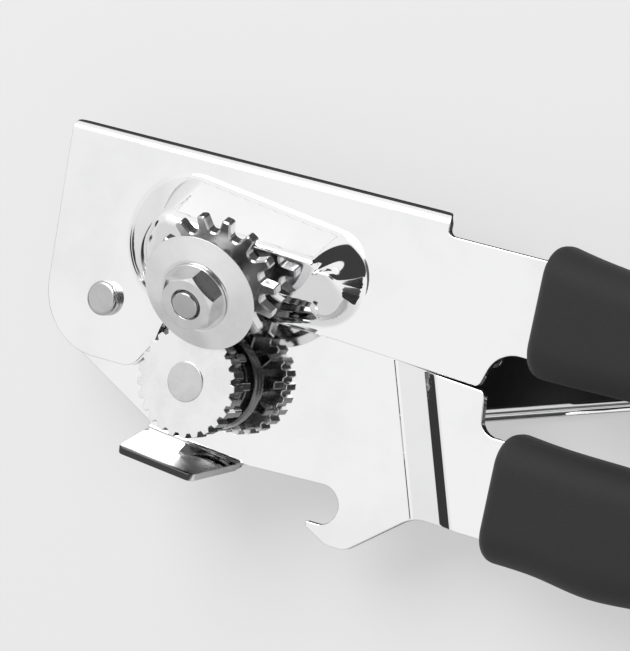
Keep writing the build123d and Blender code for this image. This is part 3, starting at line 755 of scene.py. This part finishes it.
lowerPlate = {
    "sheet": 1.5, "front": 0.0, "edgeRound": 0.22,
    "eyeLeft": -38.9, "shelfTop": 22.1, "eyeTurn": 2.2,
    "stepSlant": 19.6,
    "bends": ((37.7, 0.50, 0.12), (38.05, -0.72, 0.12), (38.45, 0.3367, 0.12),
              (44.0, 0.3119, 0.3), (46.8, -0.4286, 0.4)),     # place, change of slope, width
    "tabLeft": -11.6, "tabRight": 9.2, "tabFold": -14.4, "tabTurn": -4.6,
    "tabFlare": 17.0, "tabReach": 10.4, "tabBend": 1.6, "bushHole": 5.4, "rivetHole": 2.3,
    "hook": ((30.4, -13.1, 3.8), (30.4, -20.7, 3.8), (24.4, -20.7, 0.25), (24.4, -21.7, 0.4),
             (29.3, -24.1, 4.5), (33.4, -24.1, 4.0), (45.9, -14.4, 8.0)),
    "shelf": ((56.6, 4.1, 3.2), (55.7, 11.8, 1.2), (33.5, 13.1, 2.0)),
    "fineZones": ((-14, -27, 13, -11.5, 0.5), (31, -17, 58, 14, 0.8)),     # tab and step
}


def tabFigures():
    spec = lowerPlate
    turn = radians(90 - spec["tabFlare"])
    tangent = spec["tabBend"] * tan(turn / 2)
    start = spec["tabFold"] + spec["sheet"] / 2 + tangent
    leg = (spec["tabReach"] + spec["sheet"] / 2) / cos(radians(spec["tabFlare"])) - tangent
    return turn, start, spec["tabBend"] * turn, leg


def lowerSurface(points):
    spec = lowerPlate
    x, y = points[:, 0], points[:, 1]
    slant = radians(spec["stepSlant"])
    along = x * cos(slant) + y * sin(slant)
    z = spec["front"] + sum(change * softRamp(along - place, width) for place, change, width in spec["bends"])
    # the rim guide folds forward below its bend line
    turn, start, arc, leg = tabFigures()
    c, s = cos(radians(spec["tabTurn"])), sin(radians(spec["tabTurn"]))
    across, down = x * c + y * s, -x * s + y * c
    below = start - down
    share = np.clip((spec["tabRight"] + 1.8 - across) / 1.6, 0, 1)
    share = eased(share) * (below > 0)
    inner = spec["tabBend"] - spec["sheet"] / 2
    angle = np.clip(below / spec["tabBend"], 0, turn)
    past = np.maximum(below - arc, 0)
    foldedDown = start - inner * np.sin(angle) - past * cos(turn)
    foldedUp = inner * (1 - np.cos(angle)) + past * sin(turn)
    down = down + (foldedDown - down) * share
    z = z + foldedUp * share
    return np.stack((across * c - down * s, across * s + down * c, z), 1)


def makeLowerPlate():
    spec = lowerPlate
    turn, start, arc, leg = tabFigures()
    end = start - arc - leg
    c, s = cos(radians(spec["tabTurn"])), sin(radians(spec["tabTurn"]))
    def tabSpot(across, down, rounding):
        return (across * c - down * s, across * s + down * c, rounding)
    corners = [(spec["eyeLeft"], spec["shelfTop"], 12.4), (spec["eyeLeft"], spec["eyeTurn"], 10.6),
               tabSpot(spec["tabLeft"], start + 0.3, 1.0), tabSpot(spec["tabLeft"] + 0.6, end, 1.2),
               tabSpot(spec["tabRight"] - 3.4, end, 1.8), tabSpot(spec["tabRight"], -15.0, 3.0),
               tabSpot(spec["tabRight"] + 0.5, -13.3, 0.6), *spec["hook"], *tangCorners("lower"),
               *spec["shelf"], (31.0, spec["shelfTop"], 4.0)]
    loops = [roundedLine(corners, 0.5), holeLine(0, 0, spec["bushHole"]),
             holeLine(*pivotSpot, spec["rivetHole"], 40)]
    slant = radians(spec["stepSlant"])
    shares = (-1, -0.5, 0, 0.5, 1)
    rows = [place + share * width for place, change, width in spec["bends"] for share in shares]
    creases = np.array([(row * cos(slant) - run * sin(slant), row * sin(slant) + run * cos(slant))
                        for row in rows for run in np.arange(-40, 25, 0.5)])
    piece = pressedSheet("lowerPlateSheet", loops, lowerSurface, spec["sheet"], spec["edgeRound"], 2.6,
                         spec["fineZones"], creases=creases)
    return finish(piece, "guide_sheet", "lower_plate")


makeUpperPlate()
makeLowerPlate()
print("plates pressed")


# ---- soft grips on the handles

gripStations = {
    "upper": ((64.0, 16.7, 41.4, 0.98), (71.0, 16.7, 40.2, 0.99), (80.0, 16.9, 39.2, 0.97),
              (98.0, 17.0, 38.9, 0.97), (125.0, 16.0, 39.6, 1.05), (150.0, 17.0, 39.0, 1.00),
              (166.0, 18.4, 38.0, 0.92), (175.0, 21.4, 35.4, 0.66)),
    "lower": ((62.4, -17.7, 6.3, 0.98), (72.0, -17.8, 5.6, 0.98), (84.0, -19.0, 5.4, 1.00),
              (98.0, -18.0, 5.3, 0.98), (125.0, -18.8, 6.0, 1.05), (150.0, -17.8, 5.0, 1.00),
              (166.0, -16.2, 3.8, 0.92), (175.0, -13.2, 0.8, 0.66)),
}
gripForm = {
    "thickness": 14.0, "cornerShare": 0.44, "middle": 1.15, "frontRound": 2.6, "backRound": 2.2,
    "endParts": 8, "slotGap": 0.15, "slotDepth": 2.0,
}
hangHole = {"radius": 3.0, "mouth": 8.0, "round": 3.0, "heights": (-14, -3.6, 6.0, 16), "fromEnd": 8.5,
            "across": 28.4}


def smoothBetween(stations, x):
    # a smooth line through the stations
    table = np.array(stations)
    xs = table[:, 0]
    slopes = np.gradient(table, xs, axis=0)
    k = min(max(np.searchsorted(xs, x) - 1, 0), len(xs) - 2)
    run = xs[k + 1] - xs[k]
    t = (x - xs[k]) / run
    return ((2 * t ** 3 - 3 * t ** 2 + 1) * table[k] + (t ** 3 - 2 * t ** 2 + t) * run * slopes[k]
            + (3 * t ** 2 - 2 * t ** 3) * table[k + 1] + (t ** 3 - t ** 2) * run * slopes[k + 1])


def sectionLine(width, height, rounding, arcParts=8, sideParts=6):
    # a rounded rectangle that always has the same number of points
    rounding = min(rounding, width / 2 - 0.01, height / 2 - 0.01)
    line = []
    for quarter, (sx, sy) in enumerate(((1, -1), (1, 1), (-1, 1), (-1, -1))):
        cx, cy = sx * (width / 2 - rounding), sy * (height / 2 - rounding)
        for part in range(arcParts + 1):
            angle = radians(-90 + 90 * quarter + 90 * part / arcParts)
            line.append((cx + rounding * cos(angle), cy + rounding * sin(angle)))
        nx, ny = ((1, 1), (-1, 1), (-1, -1), (1, -1))[quarter]
        ex, ey = nx * (width / 2 - rounding), ny * (height / 2 - rounding)
        angle = radians(90 * quarter)
        start, end = line[-1], (ex + rounding * cos(angle), ey + rounding * sin(angle))
        for part in range(1, sideParts):
            line.append((start[0] + (end[0] - start[0]) * part / sideParts,
                         start[1] + (end[1] - start[1]) * part / sideParts))
    return line


def makeGrip(side):
    stations = gripStations[side]
    form = gripForm
    first, last = stations[0][0], stations[-1][0]
    rings = []
    def ring(x, inset):
        here = smoothBetween(stations, x)
        width, height = here[2] - here[1], form["thickness"] * here[3]
        rounding = form["cornerShare"] * min(width, height)
        middle = (here[1] + here[2]) / 2
        line = sectionLine(width - 2 * inset, height - 2 * inset, max(rounding - inset, 0.8))
        rings.append([(x, middle + a, form["middle"] + b) for a, b in line])
    slot = handle[side]
    slotMiddle = (slot["low"] + slot["high"]) / 2
    gaps = 2 * form["slotGap"]
    slotLine = sectionLine(slot["high"] - slot["low"] + gaps, upperPlate["sheet"] + gaps, 0.5)
    for x in (first + form["slotDepth"], first):
        rings.append([(x, slotMiddle + a, form["middle"] + b) for a, b in slotLine])
    for part in range(form["endParts"] + 1):
        angle = radians(90 * part / form["endParts"])
        ring(first + form["frontRound"] * (1 - cos(angle)), form["frontRound"] * (1 - sin(angle)))
    x = first + form["frontRound"] + 1.5
    while x < last - form["backRound"] - 0.8:
        ring(x, 0)
        x += 1.8
    for part in range(form["endParts"] + 1):
        angle = radians(90 - 90 * part / form["endParts"])
        ring(last - form["backRound"] * (1 - cos(angle)), form["backRound"] * (1 - sin(angle)))
    count = len(rings[0])
    points = [p for r in rings for p in r]
    rows = [list(range(start, start + count)) for start in range(0, len(points), count)]
    faces = [rows[0][::-1]]
    for low, high in zip(rows, rows[1:]):
        faces += ringFaces(low, high)
    faces.append(rows[-1])
    piece = meshFrom(side + "SoftGrip", points, faces, place=headPlace)
    if side == "upper":
        low, neck, throat, high = hangHole["heights"]
        cut, mouth, rounding = hangHole["radius"], hangHole["mouth"], hangHole["round"]
        corners = ((0, low, 0), (mouth, low, 0.3), (cut, neck, rounding), (cut, throat, rounding),
                   (mouth, high, 0.3), (0, high, 0))
        spot = ((last - hangHole["fromEnd"]) * mm, hangHole["across"] * mm, 0)
        cutter = turnedPiece("holeCutter", corners, headPlace @ Matrix.Translation(spot), 64)
        boolean = piece.modifiers.new("hangHole", "BOOLEAN")
        boolean.object = cutter
        boolean.solver = "EXACT"
        mesh = bpy.data.meshes.new_from_object(piece.evaluated_get(bpy.context.evaluated_depsgraph_get()))
        piece.modifiers.clear()
        piece.data = mesh
        bpy.data.objects.remove(cutter)
    piece.data.set_sharp_from_angle(angle=radians(50))
    return finish(piece, "soft_grip", side + "_grip")


makeGrip("upper")
makeGrip("lower")
print("grips moulded")


# ---- wheels and gears

cutterGear = {"teeth": 14, "tip": 12.5, "root": 9.4, "tipShare": 0.30, "rootShare": 0.60,
              "tipRound": 0.5, "rootRound": 1.0, "chamfer": 0.3, "low": 2.6, "high": 4.9, "turn": 0.6,
              "bore": 4.26}
driveGear = {"teeth": 11, "tip": 9.9, "root": 6.9, "tipShare": 0.26, "rootShare": 0.66,
             "tipRound": 0.35, "rootRound": 0.7, "chamfer": 0.22, "low": 4.4, "high": 8.0, "bore": 3.8}
feedWheel = {"teeth": 25, "tip": 10.5, "root": 9.65, "tipShare": 0.42, "rootShare": 0.72,
             "tipRound": 0.1, "rootRound": 0.1, "chamfer": 0.1, "low": 8.0, "high": 11.6, "turn": -66.4,
             "bore": 3.8}


def driveTurn():
    # puts a gap of the drive gear where the cutter gear has a tooth
    spot = Vector(cutterAxis["seat"]) + cutterWay * cutterGear["high"]
    towards = atan2(spot.y, spot.x) * 180 / pi
    pitch = 360 / cutterGear["teeth"]
    off = (towards + 180 - cutterGear["turn"]) % pitch
    if off > pitch / 2:
        off -= pitch
    return towards + (off / pitch + 0.5) * 360 / driveGear["teeth"]


def makeGears():
    gears = (
        # name, node, measures, first turn, finish, place, sharp angle, finish of the flanks
        # the cutter gear's flanks are painted lighter than its faces: a painted highlight
        ("cutterGearTeeth", "cutter_gear", cutterGear, cutterGear["turn"], "pin_steel", cutterPlace, 28,
         "tooth_flank"),
        ("driveGearTeeth", "drive_gear", driveGear, driveTurn(), "bearing_steel", headPlace, 28, None),
        # the feed wheel's serration flanks are painted near-black: painted shade
        ("feedWheelSerrations", "feed_wheel", feedWheel, feedWheel["turn"], "feed_face", headPlace, 20,
         "bearing_steel"),
    )
    for name, node, spec, turn, face, place, sharpAngle, flank in gears:
        piece = repeatAround(name, gearSegment(spec), spec["teeth"], turn, face, place, sharpAngle, flank)
        finish(piece, face, node)


nut = {"flats": 10.0, "bore": 3.0, "low": 13.05, "height": 3.0, "land": 4.9, "countersink": 0.1, "turn": 16.0}


def makeNut():
    # a sixth of the nut: its flat, the turned-off corner above it and the bore
    low, high = nut["low"], nut["low"] + nut["height"]
    columns = 14
    rows = [[] for row in range(6)]
    for k in range(columns + 1):
        angle = radians(-30 + 60 * k / columns)
        outer = nut["flats"] / 2 / cos(angle)
        shoulder = high - max(0, outer - nut["land"]) * tan(radians(30))
        sink = nut["bore"] + nut["countersink"]
        profile = ((outer, low), (outer, shoulder), (nut["land"], high), (sink, high),
                   (nut["bore"], high - nut["countersink"]), (nut["bore"], low))
        for row, (radius, height) in enumerate(profile):
            rows[row].append((radius * cos(angle), radius * sin(angle), height))
    points = [p for row in rows for p in row]
    faces = stripFaces([(row, (row + 1) % 6) for row in range(6)], columns + 1)
    segment = meshFrom("segment", points, faces)
    piece = repeatAround("cutterHexNut", segment, 6, nut["turn"] + 30, "plated_fixings", cutterPlace, 20)
    return finish(piece, "plated_fixings", "cutter_nut")


headTurned = (
    # name, node, finish, slot, place, corners
    ("cutterDisc", "cutter_wheel", "cutting_disc", "hard_steel", cutterPlace,
     ((4.25, 9.9, 0.1), (10.3, 9.9, 0.3), (11.5, 11.0, 0.05), (11.5, 11.15, 0.05), (7.2, 12.45, 0.6),
      (4.25, 12.45, 0.1))),
    ("cutterSpacerRing", "cutter_spacer", "hard_steel", None, cutterPlace,
     ((4.25, 0.8, 0.1), (7.0, 0.8, 0.2), (7.0, 4.0, 0.05), (8.2, 4.0, 0.05), (8.2, 9.9, 0.25),
      (4.25, 9.9, 0.1))),
    ("cutterStudPin", "cutter_stud", "pin_steel", "plated_fixings", cutterPlace,
     ((0, -2.9, 0), (4.2, -2.9, 0.7), (4.2, -1.5, 0.1), (3.0, -1.5, 0.1), (3.0, 15.0, 0.1), (2.58, 15.2, 0.1),
      (2.58, 16.55, 0.3), (0, 16.55, 0))),
    ("nutWasherRing", "cutter_nut_washer", "plated_fixings", None, cutterPlace,
     washerCorners(6.6, 3.0, 12.55, 13.05, 0.14)),
    ("pivotRivetHead", "pivot_rivet", "pin_steel", "plated_fixings", pivotPlace,
     ((0, -2.8, 0), (4.4, -2.8, 0.8), (4.4, -1.5, 0.1), (2.3, -1.5, 0.05), (2.3, 1.95, 0.05),
      (3.35, 1.95, 0.1), (3.35, 3.7, 0.8), (0, 3.7, 0))),
    ("shaftBearingBush", "shaft_bearing", "bearing_steel", None, headPlace,
     ((3.85, -2.3, 0.15), (6.3, -2.3, 0.3), (6.3, -1.5, 0.1), (5.4, -1.5, 0.05), (5.4, 0.0, 0.05),
      (9.2, 0.0, 0.1), (9.2, 1.4, 0.5), (7.2, 1.4, 0.3), (7.2, 3.6, 0.3), (3.85, 3.6, 0.15))),
    ("driveThrustRing", "drive_thrust_washer", "bearing_steel", None, headPlace,
     washerCorners(7.8, 3.85, 3.7, 4.3, 0.15)),
)


def makeTurned(pieces):
    for name, node, finishName, slot, place, corners in pieces:
        finish(turnedPiece(name, corners, place), finishName, node)


makeGears()
makeNut()
makeTurned(headTurned)
print("wheels and gears cut")


# ---- crank

crank = {
    "length": 86.0, "half": 10.2, "sheet": 1.4, "edge": 1.7, "depth": 4.0, "lip": 1.2, "lipBend": 0.7,
    "front": -4.3, "flat": 13.0, "dropEnd": 38.0, "drop": 9.0, "bendWidth": 2.5, "edgeRound": 0.2,
    "gripStart": 40.0, "gripFront": 1.6, "gripBack": 3.6, "gripEdge": 0.55, "frontHalf": 9.2, "crown": 0.12,
    "rivets": (52.0, 84.0), "rivetRadius": 1.8, "rivetLow": -17.9, "rivetHigh": -12.1,
}


crankTurned = (
    ("crankShaftPin", "crank_shaft", "shaft_steel", "plated_fixings", headPlace,
     ((0, -7.7, 0), (4.4, -7.7, 0.7), (4.4, -6.5, 0.1), (2.7, -6.5, 0.05), (2.7, -4.3, 0.05),
      (3.8, -4.3, 0.1), (3.8, 11.85, 0.22), (0, 11.85, 0))),
)


def crankDrop(x):
    slope = crank["drop"] / (crank["dropEnd"] - crank["flat"])
    return -slope * (softRamp(x - crank["flat"], crank["bendWidth"])
                     - softRamp(x - crank["dropEnd"], crank["bendWidth"]))


def rimFigures():
    wall = crank["depth"] - crank["sheet"] - crank["edge"] - crank["lipBend"]
    edgeArc = crank["edge"] * pi / 2
    lipArc = (crank["lipBend"] + crank["sheet"]) * pi / 2
    lipRun = crank["lip"] - crank["lipBend"]
    return edgeArc, wall, lipArc, lipRun


def crankSurface(points):
    # the rim is wrapped down and its lip out, by the distance from the arm's flat middle
    edgeArc, wall, lipArc, _ = rimFigures()
    inner = crank["half"] - crank["edge"]
    middle = np.stack((np.clip(points[:, 0], 0, crank["length"]), np.zeros(len(points))), 1)
    away = points - middle
    distance = np.linalg.norm(away, axis=1)
    way = away / np.maximum(distance, 1e-9)[:, None]
    past = distance - inner
    turn = np.clip(past / crank["edge"], 0, pi / 2)
    out = np.minimum(past, 0) + crank["edge"] * np.sin(turn)
    down = crank["edge"] * (1 - np.cos(turn)) + np.clip(past - edgeArc, 0, wall)
    lipTurn = np.clip((past - edgeArc - wall) / (crank["lipBend"] + crank["sheet"]), 0, pi / 2)
    out = out + crank["lipBend"] * (1 - np.cos(lipTurn)) + np.maximum(past - edgeArc - wall - lipArc, 0)
    down = down + crank["lipBend"] * np.sin(lipTurn)
    spot = middle + way * (inner + out)[:, None]
    return np.stack((spot[:, 0], spot[:, 1], crank["front"] + crankDrop(spot[:, 0]) - down), 1)


def armCorners(radius, start, rounding):
    # an outline along the arm, with a round far end
    end = crank["length"] + radius
    return [(start, -radius, rounding), (end, -radius, radius), (end, radius, radius),
            (start, radius, rounding)]


def makeCrank():
    edgeArc, wall, lipArc, lipRun = rimFigures()
    blank = crank["half"] - crank["edge"] + edgeArc + wall + lipArc + lipRun
    square = [(-2.7, -2.7, 0.2), (-2.7, 2.7, 0.2), (2.7, 2.7, 0.2), (2.7, -2.7, 0.2)]
    rivetHoles = [holeLine(x, 0, crank["rivetRadius"], 32) for x in crank["rivets"]]
    loops = [roundedLine(armCorners(blank, -blank, blank), 0.6), roundedLine(square, 0.4), *rivetHoles]
    length, half = crank["length"], crank["half"] - crank["edge"] - 0.6
    zones = [(-20, -20, 0, 20, 0.8), (length, -20, length + 20, 20, 0.8), (0, -20, length, -half, 0.62),
             (0, half, length, 20, 0.62), (0, -half, 45, half, 1.2)]
    arm = pressedSheet("crankArmChannel", loops, crankSurface, crank["sheet"], crank["edgeRound"], 2.0, zones,
                       crankPlace)
    finish(arm, "chromed_sheet", "crank_arm")
    level = crank["front"] - crank["drop"]
    backTop = level - crank["depth"] - 1.0 + crank["gripBack"]
    backHalf = crank["half"] - crank["sheet"] - 0.5
    frontTop = level + crank["gripFront"] - crank["crown"]
    scales = (
        # name, node, half width, top, crown, thickness
        ("crankScaleFront", "crank_grip_front", crank["frontHalf"], frontTop, crank["crown"],
         crank["gripFront"] - 0.06),
        ("crankScaleBack", "crank_grip_back", backHalf, backTop, 0.0, crank["gripBack"]),
    )
    for name, node, radius, top, crown, thickness in scales:
        def face(points):
            rise = crown * (1 - (points[:, 1] / crank["frontHalf"]) ** 2)
            return np.stack((points[:, 0], points[:, 1], top + rise), 1)
        outline = roundedLine(armCorners(radius, crank["gripStart"], 1.2), 0.5)
        scale = pressedSheet(name, [outline, *rivetHoles], face, thickness, crank["gripEdge"], 1.6, (),
                             crankPlace, 5)
        finish(scale, "soft_grip", node)


def makeCrankRivets():
    # two rivets, repeated along the arm
    low, high, radius = crank["rivetLow"], crank["rivetHigh"], crank["rivetRadius"]
    corners = ((0, low, 0), (radius, low, 0.35), (radius, high, 0.35), (0, high, 0))
    piece = turnedPiece("segment", corners, Matrix.Identity(4), 32)
    first, second = crank["rivets"]
    tree, nodes, (rivet, count, place, spacing, paint) = newTree(
        "repeatAlong", (("Count", "Int"), ("First place", "Vector"), ("Spacing", "Vector"),
                        ("Finish", "Material")))
    spots = nodes.add("GeometryNodeMeshLine", {"mode": "OFFSET"},
                      {"Count": count, "Start Location": place, "Offset": spacing})
    paintAndGive(nodes, realCopies(nodes, spots, rivet), paint)
    mesh = meshThrough(tree, piece, {"Count": len(crank["rivets"]), "First place": (first * mm, 0, 0),
                                     "Spacing": ((second - first) * mm, 0, 0),
                                     "Finish": finishes["plated_fixings"]})
    mesh.transform(crankPlace)
    finish(linked("crankScaleRivets", mesh), "plated_fixings", "crank_grip_rivets")


makeCrank()
makeTurned(crankTurned)
makeCrankRivets()
print("crank made")

# nodes that no piece stands for keep their own shape and take a finish
slots = {part["node"]: part["material_slot"] for part in frame["record"]["subparts"]}
for name, node in frame["nodes"].items():
    if not node.hide_render:
        node.data.materials.clear()
        node.data.materials.append(finishes[slots[name]])


# ---- floor, light and camera

floor = {
    "size": 6.0, "tone": 0.36, "cloud": 0.015, "glow": 0.48, "mirroredPale": 0.8,
    "paintedReflection": ((0.0, 0.80), (0.35, 0.40), (0.44, 0.25), (0.53, 0.04), (0.875, 0.05), (0.90, 0.95)),
}


def makeFloor():
    half = floor["size"] / 2
    mesh = bpy.data.meshes.new("studioFloor")
    corners = [(-half, -half, 0), (half, -half, 0), (half, half, 0), (-half, half, 0)]
    mesh.from_pydata(corners, [], [(0, 1, 2, 3)])
    ground = linked("studioFloor", mesh)
    material, nodes, shader = newMaterial("studio_floor", {"Roughness": 0.9, "Specular IOR Level": 0.2})
    spot = nodes.place()
    clouds = nodes.noise(spot, 6, 3)
    color = nodes.blend(clouds, grey(floor["tone"]), grey(floor["tone"] + floor["cloud"]))
    # painted reflection: mirrored rays see a painted dark band across the floor, standing in for shade round
    # the object, and pale before it, beyond it and far left; the camera sees the plain floor
    behindHead = nodes.ramp((nodes.axis(spot, 0) + 0.15) * 50, ((0.0, 0.0), (0.5, 1.0)))
    beyond = nodes.ramp((nodes.axis(spot, 1) + 0.1) * 4, floor["paintedReflection"])
    paintedReflectionTone = nodes.blend(behindHead, grey(floor["mirroredPale"]), beyond)
    seen = nodes.add("ShaderNodeLightPath", None, None, 0)
    paleness = nodes.blend(seen, grey(0), grey(floor["glow"]))
    connect(nodes, shader, color=nodes.blend(nodes.mirroredRay(), color, paintedReflectionTone), glow=paleness)
    shader.inputs["Emission Strength"].default_value = 1.0
    mesh.materials.append(material)


sky = {
    "darkSide": (-0.925, -0.284, 0.253),     # a dark gap in the room behind the head
    "tones": ((0.0, 0.97), (0.60, 0.955), (0.70, 0.94), (0.834, 0.86), (0.93, 0.87), (0.978, 0.82),
              (0.989, 0.04)),
    "nearSide": (0.0, -1.0, 0.0),
    "nearTones": ((0.0, 1.0), (0.15, 1.0), (0.45, 0.95), (0.774, 0.765), (1.0, 0.72)),
    "openingSide": (0.47, 0.122, 0.874), "opening": ((0.915, 1.0), (0.962, 0.12)),
    "cardSide": (0.649, 0.721, 0.242), "card": ((0.845, 1.0), (0.865, 0.05)),    # dark, behind the grips
    "ambient": 0.42,
}


def makeSky():
    world = bpy.data.worlds.new("studio")
    bpy.context.scene.world = world
    world.use_nodes = True
    nodes = Nodes(world.node_tree)
    background = world.node_tree.nodes["Background"]
    way = nodes.add("ShaderNodeTexCoord", None, None, 0)
    def shade(side, stops, ease="LINEAR"):
        along = nodes.add("ShaderNodeVectorMath", {"operation": "DOT_PRODUCT"}, {0: way, 1: sky[side]}, 1)
        return nodes.ramp(along, sky[stops], ease)
    tent = shade("darkSide", "tones") * shade("nearSide", "nearTones")
    opening = shade("openingSide", "opening", "EASE")
    card = shade("cardSide", "card")
    color = nodes.blend(nodes.mirroredRay(), grey(sky["ambient"]), tent * opening * card)
    world.node_tree.links.new(color.socket, background.inputs["Color"])
    background.inputs["Strength"].default_value = 1.0


lamp = {"place": (-0.35, 0.80, 1.10), "size": 1.1, "power": 15.0}


def makeLamp():
    light = bpy.data.lights.new("softbox", "AREA")
    light.shape = "SQUARE"
    light.size = lamp["size"]
    light.energy = lamp["power"]
    box = linked("softbox", light)
    box.location = lamp["place"]
    box.rotation_euler = (-Vector(lamp["place"])).to_track_quat("-Z", "Y").to_euler()


view = {
    "spot": (0.34214, 0.09907, 0.60296),    # from the crank axis, in metres
    "right": (0.850924, 0.200739, -0.485419), "up": (-0.234708, 0.972020, -0.009469),
    "away": (0.469936, 0.121989, 0.874230), "lens": 206.31,
}


def makeCamera():
    camera = bpy.data.cameras.new("camera")
    camera.sensor_width = 36.0
    camera.lens = view["lens"]
    camera.clip_start, camera.clip_end = 0.01, 20.0
    eye = linked("camera", camera)
    turn = Matrix((view["right"], view["up"], view["away"])).transposed().to_4x4()
    eye.matrix_world = Matrix.Translation(origin + Vector(view["spot"])) @ turn
    bpy.context.scene.camera = eye


makeFloor()
makeSky()
makeLamp()
makeCamera()
bpy.context.scene.view_settings.view_transform = "Standard"
print("stage set")
